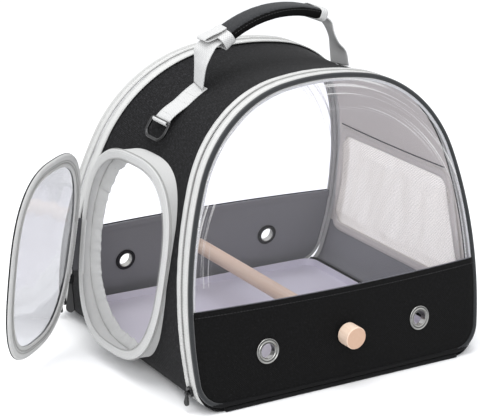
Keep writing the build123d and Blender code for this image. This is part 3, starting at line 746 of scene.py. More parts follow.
@dataclass(frozen=True)
class Net:
    """Knitted polyester mesh: fine holes between whitish threads, which pass some light."""

    name: str = "white_knitted_mesh"
    colour: str = "#f1ede8"
    pitch: float = 1.6
    open_share: float = 0.34

    def build(self) -> Material:
        """Makes the material with see-through holes on the UV map."""
        made, tree = new_material(self.name)
        uv = add(tree, "UVMap", uv_map=UV_NAME)
        cells = add(tree, "TexVoronoi", {
            "Vector": uv, "Scale": 1000 / self.pitch, "Randomness": 0.15}, feature="F1")
        hole = add(tree, "MapRange", {
            "Value": cells.outputs["Distance"], "To Min": 0.7, "To Max": 0.0,
            "From Min": self.open_share, "From Max": self.open_share + 0.12})
        bump = add(tree, "Bump", {
            "Height": cells.outputs["Distance"], "Distance": 0.2 * MM, "Strength": 0.5})
        through = add(tree, "BsdfTransparent")
        cloth = add(tree, "BsdfPrincipled", {
            "Base Color": linear(self.colour), "Roughness": 0.8, "Normal": bump})
        glow = add(tree, "BsdfTranslucent", {"Color": linear(self.colour)})
        lit = add(tree, "MixShader", {0: 0.45, 1: cloth, 2: glow})
        mixed = add(tree, "MixShader", {0: hole, 1: lit, 2: through})
        add(tree, "OutputMaterial", {0: mixed})
        return made


# Woven: name, colour, fleck, thread spacing, fleck share, depth, roughness, sheen.
# Moulded: name, colour, shade, roughness, spread, metallic.
FINISHES = {
    # matt black and near-black weaves, where only the crossing threads catch a little light
    # the band and the end panels share one black oxford cloth in two copies: this lighter one on the band,
    # the darker one below on the panels as painted shade
    "oxford": Woven("black_oxford_polyester", "#0a0a0b", "#38383b", (1.5, 1.5), 0.5, 0.25, 0.92, 0.04),
    "shaded_panel_oxford": Woven("black_oxford_painted_shade", "#030303", "#1c1c1e", (1.1, 1.1), 0.5, 0.2, 0.9, 0.02),
    "underside": Woven("black_smooth_cloth", "#040404", "#0d0d0e", (0.9, 0.9), 0.4, 0.1, 0.9, 0.0),
    "black_piping": Woven("black_piping_cloth", "#0c0c0d", "#1c1c1e", (0.8, 0.8), 0.5, 0.1, 0.85, 0.04),
    # the front piping is black cloth; this charcoal copy, lighter and with more sheen, is its painted sheen
    "piping": Woven("black_piping_painted_sheen", "#26282a", "#3c3e3f", (0.8, 0.8), 0.5, 0.1, 0.6, 0.3),
    # smooth pale weaves: lining, zipper tape, binding and piping, soft and without shine
    "lining": Woven("grey_polyester_lining", "#d0cac5", "#ddd8d3", (0.7, 0.7), 0.5, 0.05, 0.8, 0.15),
    # the band's lining also takes this finish below the mesh window, as painted shade
    "panel_lining": Woven("dark_grey_lining_and_painted_shade", "#858588", "#949497", (0.7, 0.7), 0.5, 0.05, 0.8, 0.1),
    "tape": Woven("light_grey_zipper_tape", "#c6c6c4", "#d3d3d1", (1.1, 0.7), 0.5, 0.12, 0.85, 0.1),
    "collar": Woven("light_grey_binding_cloth", "#c0c0bf", "#cdcdcb", (0.8, 0.8), 0.5, 0.1, 0.85, 0.1),
    "pale_piping": Woven("pale_piping_cloth", "#bcbcba", "#cbcbc9", (0.8, 0.8), 0.5, 0.1, 0.85, 0.1),
    "band": Woven("dark_grey_binding_tape", "#47474a", "#5c5c5f", (0.9, 0.6), 0.5, 0.14, 0.85, 0.15),
    # webbing with a coarse rib, and the grip's heather cloth of mixed dark yarns
    "webbing": Woven("light_grey_webbing", "#c4c4c3", "#d6d6d5", (1.7, 1.25), 0.4, 0.25, 0.82, 0.1),
    "heather": Woven("dark_heather_cloth", "#1f2022", "#3e3f41", (0.9, 0.9), 0.6, 0.16, 0.92, 0.12),
    # extruded nylon coils and spun thread: a soft satin glint on each turn
    # the coil is darker than its tape: its own grey deepened as painted shade in the gaps between its turns
    "coil": Moulded("nylon_zipper_coil_and_shade", "#8f8f8d", "#9c9c9a", 0.42, ior=1.53),
    "thread_pale": Moulded("pale_polyester_thread", "#d6d6d4", "#c2c2c0", 0.7, grain=0.3),
    "thread_dark": Moulded("black_polyester_thread", "#202021", "#2d2d2e", 0.7, grain=0.3),
    # pressed board, moulded polypropylene with a fine satin grain, and matt rubber
    "board": Moulded("grey_stiffener_sheet", "#6a6a6d", "#747477", 0.6),
    "tray": Moulded("lavender_grey_polypropylene", "#dddae4", "#d9d5e0", 0.55, grain=0.9, relief=0.006),
    "rubber": Moulded("black_soft_rubber", "#121213", "#19191a", 0.5, grain=0.5, relief=0.03),
    # painted die-cast zinc, plated pressed steel with a rolled rim, and bright wire
    "black_metal": Moulded("black_painted_zinc", "#151516", "#242426", 0.32, metallic=0.55, coat=0.3),
    "nickel": Moulded("nickel_plated_steel", "#9c9c9a", "#828280", 0.22, 0.06, 1.0, relief=0.004, bead=2.9),
    "zinc": Moulded("zinc_plated_steel", "#b5b6b4", "#9fa09f", 0.32, 0.08, 1.0),
    "steel": Moulded("spring_steel_wire", "#8d8e90", "#7b7c7e", 0.3, 0.05, 1.0),
    # bare wood, calendered sheet that shows at its curves, and knitted net
    "beech": Timber(),
    "clear": ClearSheet(),
    "flap_clear": ClearSheet("clear_flap_sheet", gloss="#c0c1c3", haze=0.2),
    "net": Net(),
}


# ---- repeats along a path
class PathRepeater:
    """Geometry Nodes tree that sets a small template along a path at an even spacing."""

    def __init__(self) -> None:
        """Builds the tree with named inputs."""
        tree = bpy.data.node_groups.new("repeat_along_path", "GeometryNodeTree")
        face = tree.interface
        face.new_socket("Geometry", in_out="INPUT", socket_type="NodeSocketGeometry")
        for name, kind in (("Spacing", "NodeSocketFloat"), ("Template", "NodeSocketObject"),
                           ("Finish", "NodeSocketMaterial"), ("Unevenness", "NodeSocketFloat"),
                           ("Seed", "NodeSocketInt")):
            face.new_socket(name, in_out="INPUT", socket_type=kind)
        face.new_socket("Geometry", in_out="OUTPUT", socket_type="NodeSocketGeometry")
        given = add(tree, "NodeGroupInput")
        curve = add(tree, "GeometryNodeMeshToCurve", {"Mesh": given.outputs["Geometry"]})
        even = add(tree, "GeometryNodeResampleCurve", {
            "Curve": curve, "Length": given.outputs["Spacing"]}, mode="LENGTH")
        up = add(tree, "GeometryNodeInputNamedAttribute", {"Name": "up"}, data_type="FLOAT_VECTOR")
        ahead = add(tree, "GeometryNodeInputTangent")
        turn = add(tree, "FunctionNodeAxesToRotation", {
            "Primary Axis": up, "Secondary Axis": ahead}, primary_axis="Z", secondary_axis="X")
        low = add(tree, "Math", {0: 1.0, 1: given.outputs["Unevenness"]}, operation="SUBTRACT")
        size = add(tree, "FunctionNodeRandomValue", {
            2: low, 3: 1.0, "Seed": given.outputs["Seed"]}, data_type="FLOAT")
        info = add(tree, "GeometryNodeObjectInfo", {"Object": given.outputs["Template"]})
        copies = add(tree, "GeometryNodeInstanceOnPoints", {
            "Points": even, "Instance": info.outputs["Geometry"], "Rotation": turn,
            "Scale": size.outputs[1]})
        real = add(tree, "GeometryNodeRealizeInstances", {0: copies})
        dressed = add(tree, "GeometryNodeSetMaterial", {
            "Geometry": real, "Material": given.outputs["Finish"]})
        add(tree, "NodeGroupOutput", {0: dressed})
        self.tree = tree

    def run(self, name: str, paths: Rows, template: Object, spacing: float, finish: Material,
            unevenness: float = 0.0) -> Object:
        """Sets the template along one or more paths.

        Args:
            name: name of the result.
            paths: each a path in millimetres, its up directions, and whether it is closed.
            template: object to repeat, X along the path and Z up.
            spacing: in millimetres.
            finish: material of the copies.
            unevenness: largest share by which a copy is smaller.

        Returns:
            One plain mesh.
        """
        points, ups, edges, start = [], [], [], 0
        for path, up, closed in paths:
            count = len(path)
            points.append(path)
            ups.append(up)
            edges += [(start + i, start + (i + 1) % count) for i in range(count if closed else count - 1)]
            start += count
        mesh = bpy.data.meshes.new(name)
        mesh.from_pydata((np.concatenate(points) * MM).tolist(), edges, [])
        layer = mesh.attributes.new("up", "FLOAT_VECTOR", "POINT")
        layer.data.foreach_set("vector", np.concatenate(ups).astype(np.float32).ravel())
        piece = make_object(name, mesh)
        rule = piece.modifiers.new("repeat", "NODES")
        rule.node_group = self.tree
        given = {"Spacing": spacing * MM, "Template": template, "Finish": finish,
                 "Unevenness": unevenness, "Seed": 7}
        for socket in self.tree.interface.items_tree:
            if socket.name in given:
                rule[socket.identifier] = given[socket.name]
        bake(piece)
        piece.data.shade_smooth()
        return piece


def bean(name: str, length: float, width: float, height: float, along_x: bool) -> Object:
    """Small rounded bar that stands for one stitch or one turn of a coil.

    Args:
        name: object's name.
        length: its long size in millimetres.
        width: its size across.
        height: its size upwards.
        along_x: the long axis is X, and otherwise Y.

    Returns:
        The object, its underside at Z 0.
    """
    shares = ((-0.5, 0.25), (-0.38, 0.85), (0.0, 1.0), (0.38, 0.85), (0.5, 0.25))
    rings = []
    for place, size in shares:
        ring = circle(0.5, 6) * size
        rings.append([(place * length, c * width, s * height + height * 0.4) for c, s in ring])
    points = np.array(rings)
    if not along_x:
        points = points[..., [1, 0, 2]]
    return outward_normals(net(name, points, wrap_cols=True, caps=True))


class Workshop:
    """Shared finishes, templates and the steps that every piece ends with."""

    coil_pitch = 1.5

    def __init__(self) -> None:
        """Builds finishes and templates."""
        self.finishes = {key: spec.build() for key, spec in FINISHES.items()}
        self.repeater = PathRepeater()
        self.stitch = bean("stitch_template", 2.6, 0.55, 0.5, True)
        self.tooth = bean("tooth_template", 1.75, 0.95, 1.3, False)
        self.fine_tooth = bean("fine_tooth_template", 1.5, 0.95, 0.9, False)

    def clear(self) -> None:
        """Removes the templates."""
        for piece in (self.stitch, self.tooth, self.fine_tooth):
            bpy.data.objects.remove(piece)

    def dress(self, piece: Object, finish: str) -> None:
        """Gives a whole piece one finish."""
        piece.data.materials.clear()
        piece.data.materials.append(self.finishes[finish])

    def hand_in(self, piece: Object, finish: str | None, body: Body, slot: str, *nodes: str) -> None:
        """Dresses a piece, seats it on its body and hides the CAD nodes that it stands for.

        Args:
            piece: finished mesh.
            finish: short name of its finish, or None if it has its own.
            body: body that it moves with.
            slot: the record's material slot; not used.
            *nodes: CAD nodes that it stands for.
        """
        if finish is not None:
            self.dress(piece, finish)
        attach(piece, body.value)
        if nodes:
            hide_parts(*nodes)
        log.info("%s rides on %s, %d faces", piece.name, body.value, len(piece.data.polygons))

    def coil(self, name: str, path: tuple[Array, Array, bool], tooth: Object) -> Object:
        """Turns of a zipper's coil along a path."""
        return self.repeater.run(name, [path], tooth, self.coil_pitch, self.finishes["coil"])

    def stitches(self, name: str, paths: Rows, body: Body, slot: str,
                 dark: bool = False, spacing: float = 3.4) -> None:
        """Rows of stitches along paths.

        Args:
            name: name of the piece.
            paths: each with its up directions, and whether it is closed.
            body: body that they move with.
            slot: the record's material slot; not used.
            dark: black thread, and otherwise pale.
            spacing: from one stitch to the next.
        """
        finish = self.finishes["thread_dark" if dark else "thread_pale"]
        piece = self.repeater.run(name, paths, self.stitch, spacing, finish, 0.15)
        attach(piece, body.value)


# ---- side band
def arch_strip(name: str, depth: tuple[float, float], level: tuple[float, float], end: End,
               wave: float) -> Object:
    """Strip that follows the arch above the base.

    Args:
        name: object's name.
        depth: its two edges behind the panel's foremost line.
        level: its inner and outer face, outside the band.
        end: front or rear of the carrier.
        wave: height of its fine puckers.

    Returns:
        A closed strip.
    """
    reach = ARCH.reach_at_height(ZIP_FOOT)
    s = np.linspace(-reach, reach, 260)
    across = np.linspace(depth[0], depth[1], 4)
    flat = np.ones_like(across)
    y = front_y(ARCH.at(s)[1])[:, None] + across[None]
    lift = ripple(stack(s, s * 0), 9.0, depth[0])[:, None] * wave * flat
    faces = []
    for height in level:
        x, z, _, _ = ARCH.at(s[:, None] * flat, height + lift * (height == level[1]))
        faces.append(stack(x, y * end.value, z))
    ring = np.concatenate([faces[1], faces[0][:, ::-1]], axis=1)
    v = np.concatenate([across, across[::-1] + 40])
    uv = np.stack(np.meshgrid(s, v, indexing="ij"), -1)
    return outward_normals(net(name, ring, uv, wrap_cols=True, caps=True))


def arch_path(depth: float, level: float, end: End, low: float) -> tuple[Array, Array, bool]:
    """Path along the arch, open at its feet.

    Args:
        depth: behind the panel's foremost line.
        level: outside the band.
        end: front or rear of the carrier.
        low: height at which it starts.

    Returns:
        The path, its up directions, and that it is open.
    """
    reach = ARCH.reach_at_height(low)
    s = np.linspace(-reach, reach, int(reach / 2))
    x, z, nx, nz = ARCH.at(s, level)
    y = (front_y(ARCH.at(s)[1]) + depth) * end.value
    return stack(x, y, z), stack(nx, nx * 0, nz), False


@dataclass
class SideBand:
    """Black cloth band with its grey lining, the mesh window, the base cloth and its piping."""

    shop: Workshop
    shell_thickness: float = 1.6
    lining_thickness: float = 0.5
    mesh_low: float = 64.0
    mesh_high: float = 176.0
    mesh_end_margin: float = 9.1
    foot_margin: float = 4.0
    lining_short: float = 26.0
    mesh_corner: float = 9.0
    mesh_level: float = -1.6
    mesh_dip: float = 4.0
    mesh_folds: tuple[float, float] = (3.6, 1.9)
    fold_limit: float = 4.4
    base_half: float = 145.2
    welt_line: float = 147.1
    welt_radius: float = 1.9
    tuck_height: float = 188.0

    def mesh_half(self, z: float) -> float:
        """Half length of the mesh window at height z."""
        return -front_y(z) - BAND.front_edge - self.mesh_end_margin

    def mesh_outline(self, grow: float) -> Array:
        """Outline of the mesh window in the YZ plane, with rounded corners."""
        low, high = self.mesh_low - grow, self.mesh_high + grow
        wide, narrow = self.mesh_half(self.mesh_low) + grow, self.mesh_half(self.mesh_high) + grow
        corners = np.array([(-wide, low), (wide, low), (narrow, high), (-narrow, high)])
        points, r = [], self.mesh_corner + grow
        for i in range(4):
            here, before, after = corners[i], corners[i - 1], corners[(i + 1) % 4]
            a = (before - here) / np.linalg.norm(before - here)
            b = (after - here) / np.linalg.norm(after - here)
            for t in np.linspace(0, 1, 7):
                points.append(here + a * r * (1 - t) ** 2 + b * r * t**2)
        return np.array(points)

    def mesh_cutter(self) -> Object:
        """Block that opens the right wall for the mesh."""
        ring = self.mesh_outline(0.0)
        near, far = (np.insert(ring, 0, x, axis=1) for x in (120.0, 200.0))
        return prism("mesh_cutter", near, far)

    def door_cutter(self) -> Object:
        """Block that opens the left wall for the door."""
        angle = DOOR.angles(120)
        x, y = DOOR.outline(angle, 6.4)
        return prism("door_cutter", DOOR.world(x, y, -58.0 + x * 0), DOOR.world(x, y, 12.0 + x * 0))

    def cloth_net(self, name: str, offset: float, front: float, rear: float, seed: float,
                  foot: bool) -> Object:
        """Net of the band's cloth.

        Args:
            name: object's name.
            offset: outside the band's surface.
            front: front edge behind the front panel's foremost line.
            rear: the same at the rear.
            seed: pattern of its puckers.
            foot: the cloth widens below the zippers' ends.

        Returns:
            The open sheet.
        """
        reach = ARCH.half - (0.0 if foot else self.lining_short)
        s = np.linspace(-reach, reach, 250)
        z = ARCH.at(s)[1]
        low = (z < ZIP_FOOT) & foot
        start = front_y(z) + np.where(low, self.foot_margin, front)
        stop = -front_y(z) - np.where(low, self.foot_margin, rear)
        t = np.linspace(0, 1, 60)
        y = start[:, None] + (stop - start)[:, None] * t[None]
        grid = s[:, None] * np.ones_like(y)
        points = BAND.place(grid, y, offset, seed)
        piece = net(name, points, stack(grid, y))
        crown = max(piece.data.polygons, key=lambda f: f.center.z)
        if crown.normal.z < 0:
            piece.data.flip_normals()
        return piece

    def make(self) -> None:
        """Builds every piece of the side band."""
        shell = self.cloth_net("gusset_cloth", 0.0, BAND.front_edge, BAND.rear_edge, 1.0, True)
        area = thicken(shell, self.shell_thickness)
        cut(shell, [self.door_cutter(), self.mesh_cutter()])
        shell.data.shade_smooth()
        self.shop.hand_in(shell, "oxford", Body.CARRIER, "black_oxford_cloth", "gusset_shell")
        lining = self.cloth_net("cabin_lining_cloth", -self.shell_thickness - 0.6,
                                BAND.front_edge - 1.5, BAND.rear_edge - 1.5, 5.0, False)
        area = thicken(lining, self.lining_thickness)
        cut(lining, [self.door_cutter(), self.mesh_cutter()])
        lining.data.shade_smooth()
        # painted shade: faces of the lining below the mesh window's lower edge take the darker panel lining
        # finish, so the lower walls read darker
        self.shop.dress(lining, "lining")
        lining.data.materials.append(self.shop.finishes["panel_lining"])
        for face in lining.data.polygons:
            face.material_index = int(face.center.z < (self.mesh_low - 1.0) * MM)
        self.shop.hand_in(lining, None, Body.CARRIER, "grey_lining_cloth", "cabin_lining")
        self.make_mesh()
        self.make_base()

    def wall_points(self, y: Array, z: Array, offset: Array | float) -> Array:
        """Points of the right wall at y and z, outside the band by offset."""
        s = np.linspace(0, ARCH.half, 3000)
        reach = np.interp(-np.asarray(z, float), -ARCH.at(s)[1], s)
        depth = offset - BAND.sag(reach, y)
        x, height, _, _ = ARCH.at(reach, depth)
        return stack(x, y, height)

    def make_mesh(self) -> None:
        """Whitish mesh with soft upright folds, and the binding round it."""
        rows, cols = 56, 90
        v = np.linspace(-0.03, 1.03, rows)
        u = np.linspace(-1.0, 1.0, cols)
        z = self.mesh_low + (self.mesh_high - self.mesh_low) * v
        half = np.array([self.mesh_half(h) for h in z]) + 3.0
        y = half[:, None] * u[None]
        height = z[:, None] * np.ones_like(y)
        inside = smooth(v, 0.0, 0.15) * (1 - smooth(v, 0.85, 1.0))
        rim = (1 - np.abs(u)) / 0.12
        folds = self.mesh_folds[0] * ripple(stack(y, height * 0.22), 26.0, 3.0)
        folds += self.mesh_folds[1] * ripple(stack(y + height * 0.4, height * 0.3), 13.0, 8.0)
        folds = np.clip(folds, -self.fold_limit, self.fold_limit) * inside[:, None]
        folds *= np.clip(rim, 0, 1)[None]
        points = self.wall_points(y, height, self.mesh_level - self.mesh_dip * inside[:, None] + folds)
        cloth = net("mesh_cloth", points, stack(y, height))
        area = thicken(cloth, 0.35, Vector((1, 0, 0)))
        self.shop.hand_in(cloth, "net", Body.CARRIER, "white_mesh", "mesh_window")
        section = ((-0.6, -2.6), (-0.6, -3.5), (1.0, -3.9), (5.0, -3.7), (8.6, -3.8), (9.2, -2.9))
        rings = [self.wall_points(*self.mesh_outline(grow).T, level) for grow, level in section]
        bound = net("mesh_window_binding", np.stack(rings, 1), wrap_rows=True, wrap_cols=True)
        outward_normals(bound)
        self.shop.hand_in(bound, "lining", Body.CARRIER, "grey_lining_cloth", "mesh_binding")
        paths = [self.wall_points(*self.mesh_outline(grow).T, -3.95) for grow in (1.2, 7.6)]
        threads = [(path, np.tile((-1.0, 0.0, 0.0), (len(path), 1)), True) for path in paths]
        self.shop.stitches("mesh_binding_stitches", threads, Body.CARRIER, "light_grey_tape")
        # tuck seam along the right wall: a raised ridge in the dark grey tape finish, its darkness a
        # painted shade for the groove under it
        reach = -front_y(self.tuck_height)
        y = np.linspace(-reach + 21, reach - 20, 40)
        ridge = self.wall_points(y, y * 0 + self.tuck_height, -2.75 + y * 0)
        seam = sweep("wall_tuck", ridge, np.tile((-1.0, 0.0, 0.0), (len(y), 1)), circle(0.75, 8), False)
        self.shop.hand_in(seam, "band", Body.CARRIER, "dark_grey_band")

    def make_base(self) -> None:
        """Cloth under the base and the piping along its two ends."""
        x = np.linspace(-ARCH.corner[0], ARCH.corner[0], 60)
        y = np.linspace(-self.base_half, self.base_half, 60)
        grid = np.stack(np.meshgrid(x, y, indexing="ij"), -1)
        edge = np.minimum(self.base_half - np.abs(grid[..., 1]), ARCH.corner[0] - np.abs(grid[..., 0]))
        z = 0.25 + 0.2 * ripple(grid, 40.0, 2.0) * smooth(edge, 0, 20)
        cloth = net("base_cloth", np.concatenate([grid, z[..., None]], -1), grid)
        area = thicken(cloth, 1.4, Vector((0, 0, -1)))
        self.shop.hand_in(cloth, "oxford", Body.CARRIER, "black_oxford_cloth", "base_panel")
        x = np.linspace(-ARCH.corner[0], ARCH.corner[0], 90)
        path = stack(x, x * 0 - self.welt_line, x * 0 + self.welt_radius)
        up = np.tile((0.0, 0.0, 1.0), (len(x), 1))
        welt = sweep("base_welts", path, up, circle(self.welt_radius, 12), False)
        twin = welt.modifiers.new("other_end", "MIRROR")
        twin.use_axis = (False, True, False)
        twin.use_mirror_merge = False
        bake(welt)
        self.shop.hand_in(welt, "black_piping", Body.CARRIER, "charcoal_piping", "base_piping")


# ---- end panels
@dataclass
class EndPanel:
    """Leaning end panel: stiff cloth part below, bowed clear sheet above, piping round both."""

    shop: Workshop
    end: End
    line: float
    piping: str
    skirt: float
    body_tape: float
    bow_low: float = 0.4
    bow_line: float = 10.0
    bow_top: float = 2.0
    reach: float = 178.88
    offset: float = -3.6
    dark_below: float = 9.0
    cover_thickness: float = 1.4
    board_thickness: float = 1.9
    clear_thickness: float = 0.7
    cord_radius: float = 2.5
    tape_level: float = 0.9
    tape_gap: float = 3.1
    bore: float = 8.5
    knob_at: tuple[float, float, float] = (0.0, 53.0, 3.0)
    crease_spring: float = 120.0
    crease_reach: float = 172.0
    creases: tuple[tuple[float, float, float], ...] = ((1.0, 15.0, 3.2), (0.6, 27.0, 2.4))

    @property
    def body(self) -> Body:
        """Body that the panel moves with."""
        return Body.FRONT if self.end is End.FRONT else Body.REAR

    @property
    def side(self) -> str:
        """Start of the panel's piece names."""
        return "front" if self.end is End.FRONT else "rear"

    def face_y(self, x: Array, z: Array) -> Array:
        """Outer face of the cover at x and z, as for the front panel."""
        low = self.bow_low + (self.bow_line - self.bow_low) * z / self.line
        high = self.bow_line + (self.bow_top - self.bow_line) * (z - self.line) / (HEIGHT - self.line)
        bow = np.where(z <= self.line, low, high) * (1 - (x / self.reach) ** 2)
        return front_y(z) + 1.0 - bow

    def place(self, x: Array, y: Array, z: Array) -> Array:
        """Points in space, mirrored for the rear panel."""
        return stack(x, y * self.end.value, z)

    def sheet_net(self, name: str, low: float, high: float, depth: float, seed: float, wave: float,
                  tuck: float, rows: int = 60, step: float = 0.0) -> Object:
        """Net of a bowed sheet that fills the panel's outline between two heights.

        Args:
            name: object's name.
            low: lower edge.
            high: upper edge.
            depth: its outer face behind the cover's outer face.
            seed: pattern of its ripples.
            wave: height of its ripples.
            tuck: how far its rim draws back into the piping's seam.
            rows: rows of the net.
            step: how far it steps back behind the clear sheet's lower edge.

        Returns:
            The object, its outer face towards the outside.
        """
        t = np.linspace(0, 1, rows)
        bottom, top = max(low, PANEL_LIFT - self.offset), min(high, HEIGHT + self.offset)
        ease = np.sin(np.pi * t / 2) if high > 250 else t**1.35
        z = bottom + (top - bottom) * ease
        half = PANEL_ARCH.width_at(z, self.offset)
        u = np.linspace(-1, 1, 96)
        u = np.sin(u * np.pi / 2 * 0.86) / math.sin(np.pi / 2 * 0.86)
        x = half[:, None] * u[None]
        height = z[:, None] * np.ones_like(x)
        foot = (height - PANEL_LIFT + self.offset) if low < 20 else 99.0
        rim = np.minimum(half[:, None] - np.abs(x), foot)
        y = self.face_y(x, height) + depth + step * smooth(height, self.line - 9, self.line - 6.5)
        y = y + tuck * (1 - smooth(rim, 0, 7)) + wave * ripple(stack(x, height), 48.0, seed)
        if high > 250:
            near = np.hypot(x, np.maximum(height - self.crease_spring, 0.0) * 1.05)
            inside = np.where(height > self.crease_spring, self.crease_reach - near, rim)
            crest = sum(share * np.exp(-(((inside - at) / wide) ** 2)) for share, at, wide in self.creases)
            y = y - 1.5 * crest * smooth(ripple(stack(x, height), 90.0, 14.0), -0.25, 0.35)
        gathers = 0.25 * ripple(stack(x, height), 7.0, seed + 3) * (1 - smooth(rim, 1, 12))
        y = y + gathers * (wave > 0)
        return net(name, self.place(x, y, height), stack(x, height))

    def on_face(self, x: Array, z: Array, depth: float) -> Array:
        """Points at a depth behind the cover's outer face."""
        return self.place(x, self.face_y(x, z) + depth, z)

    def facing(self) -> Vector:
        """Outward direction of the panel."""
        return Vector((0, -self.end.value, 0))

    def bore_cutters(self, radius: float) -> list[Object]:
        """Cylinders through the two eyelets, and through the knob's screw hole at the front."""
        found = []
        spots = [(-EYELET[0], EYELET[1], radius), (*EYELET, radius)]
        if self.end is End.FRONT:
            spots.append(self.knob_at)
        for i, (x, z, size) in enumerate(spots):
            y = float(self.face_y(np.array(x), np.array(z)))
            lean = (self.bow_line - self.bow_low) / self.line - LEAN / HEIGHT
            across = 2 * x * (self.bow_low + (self.bow_line - self.bow_low) * z / self.line) / self.reach**2
            out = Vector((across, -1.0, -lean)).normalized()
            side = out.cross(Vector((0, 0, 1))).normalized()
            up = side.cross(out)
            ring = circle(size, 28)
            centre = np.array((x, y, z))
            base = centre + ring[:, :1] * np.array(side) + ring[:, 1:] * np.array(up)
            near, far = base - np.array(out) * 9.0, base + np.array(out) * 6.0
            near[:, 1] *= self.end.value
            far[:, 1] *= self.end.value
            found.append(prism(f"bore_{i}", near, far))
        return found

    def make(self) -> None:
        """Builds every piece of the panel."""
        # the cover takes the darker copy of the black oxford cloth, painted shade on the upright panel
        for name, node, rest, finish, slot, thickness, shape in (
                ("cover_cloth", "cover", "piping_cloth", "shaded_panel_oxford", "black_oxford_cloth",
                 self.cover_thickness, (self.line, 0.0, 2.0, 0.35, 0.8)),
                ("panel_lining", "board", "cover_cloth", "panel_lining", "grey_lining_cloth",
                 self.board_thickness, (self.line - 0.4, 1.5, 6.0, 0.25, 0.2, 60, 1.0))):
            sheet = self.sheet_net(f"{self.side}_{name}", 0, *shape)
            area = thicken(sheet, thickness, self.facing())
            cut(sheet, self.bore_cutters(self.bore))
            self.shop.hand_in(sheet, finish, self.body, slot, f"{self.side}_{node}")
        clear = self.sheet_net(f"{self.side}_clear_sheet", self.line - 6, HEIGHT, 1.6, 9.0, 0.0, 0.0, 70)
        area = thicken(clear, self.clear_thickness, self.facing())
        self.shop.hand_in(clear, "clear", self.body, "clear_sheet", f"{self.side}_window")
        self.make_piping()
        self.make_seams()
        self.make_zipper()

    def outline(self, offset: float, depth: float) -> tuple[Array, Array]:
        """Path round the panel, along its foot too, and its outward directions."""
        s = np.linspace(-PANEL_ARCH.half, PANEL_ARCH.half, 300)
        x, z, nx, nz = PANEL_ARCH.at(s, offset)
        foot = np.linspace(x[-1], x[0], 90)[1:-1]
        x, z = np.concatenate([x, foot]), np.concatenate([z, foot * 0 + z[-1]])
        nx, nz = np.concatenate([nx, foot * 0]), np.concatenate([nz, foot * 0 - 1])
        return self.place(x, front_y(z) + depth, z), stack(nx, nx * 0, nz)

    def make_piping(self) -> None:
        """Cloth-covered cord round the panel."""
        path, up = self.outline(-1.0, self.cord_radius)
        bead = sweep(f"{self.side}_piping_cloth", path, up, circle(self.cord_radius, 14), True)
        slot = "charcoal_piping" if self.end is End.FRONT else "light_grey_piping"
        self.shop.dress(bead, self.piping)
        # painted sheen: the front piping is one black cloth; above dark_below it takes the lighter charcoal
        # copy, below it keeps the black
        if self.end is End.FRONT:
            bead.data.materials.append(self.shop.finishes["black_piping"])
            for face in bead.data.polygons:
                face.material_index = int(face.center.z < self.dark_below * MM)
        self.shop.hand_in(bead, None, self.body, slot, f"{self.side}_piping")

    def make_seams(self) -> None:
        """Pale binding behind the clear sheet's edge, and the hem along the cover's top."""
        s = np.linspace(-PANEL_ARCH.half, PANEL_ARCH.half, 300)
        rings = []
        keep = PANEL_ARCH.at(s, -4.0)[1] > self.line - 3
        for offset, depth in ((-3.2, 3.35), (-3.2, 4.2), (-5.9, 4.2), (-6.3, 3.8), (-5.9, 3.35)):
            x, z, _, _ = PANEL_ARCH.at(s[keep], offset)
            rings.append(self.on_face(x, z, depth - 1.0))
        bound = net(f"{self.side}_window_binding", np.stack(rings, 1), wrap_cols=True, caps=True)
        outward_normals(bound)
        self.shop.hand_in(bound, "tape", self.body, "light_grey_tape")
        half = float(PANEL_ARCH.width_at(np.array([self.line]), self.offset)[0]) - 0.8
        x = np.linspace(-half, half, 110)
        rings = []
        section = ((0.2, 0.0), (-0.5, -0.45), (-1.5, -0.75), (-4.5, -0.7), (-6.0, -0.5), (-6.3, 0.05))
        for drop, depth in section:
            z = x * 0 + self.line + drop
            rings.append(self.on_face(x, z, depth + 0.35))
        hem = net(f"{self.side}_cover_hem", np.stack(rings, 1), wrap_cols=True, caps=True)
        outward_normals(hem)
        # the hem takes the same darker copy of the black oxford cloth, painted shade
        self.shop.hand_in(hem, "shaded_panel_oxford", self.body, "black_oxford_cloth")
        z = x * 0 + self.line - 5.0
        path = self.on_face(x, z, -0.25)
        up = np.tile((0.0, -self.end.value, 0.0), (len(x), 1))
        self.shop.stitches(f"{self.side}_hem_stitches", [(path, up, False)], self.body,
                           "black_oxford_cloth", True)

    def make_zipper(self) -> None:
        """Tapes, coils and stitches of the arch zipper on both sides of its opening."""
        middle, near = self.skirt + self.tape_gap / 2, self.skirt + self.tape_gap
        faces = (0.0, self.tape_level)
        hinged = arch_strip(f"{self.side}_panel_tape", (5.1, self.skirt), faces, self.end, wave=0.25)
        self.shop.hand_in(hinged, "tape", self.body, "light_grey_tape", f"{self.side}_zip_panel_tape")
        far = near + self.body_tape
        fixed = arch_strip(f"{self.side}_body_tape", (near, far), faces, self.end, wave=0.2)
        self.shop.hand_in(fixed, "tape", Body.CARRIER, "light_grey_tape", f"{self.side}_zip_body_tape")
        for label, sign, body in (("panel", -1, self.body), ("body", 1, Body.CARRIER)):
            path = arch_path(middle + sign * 0.85, 0.25, self.end, ZIP_FOOT + 0.3)
            teeth = self.shop.coil(f"{self.side}_{label}_coil", path, self.shop.tooth)
            self.shop.hand_in(teeth, None, body, "light_grey_coil", f"{self.side}_zip_{label}_coil")
        rows = [arch_path(depth, 0.95, self.end, 12) for depth in (7.0, self.skirt - 2.2)]
        self.shop.stitches(f"{self.side}_panel_tape_stitches", rows, self.body, "light_grey_tape")
        rows = [arch_path(depth, 0.95, self.end, 12) for depth in (near + 2.2, far - 1.4)]
        self.shop.stitches(f"{self.side}_body_tape_stitches", rows, Body.CARRIER, "light_grey_tape")


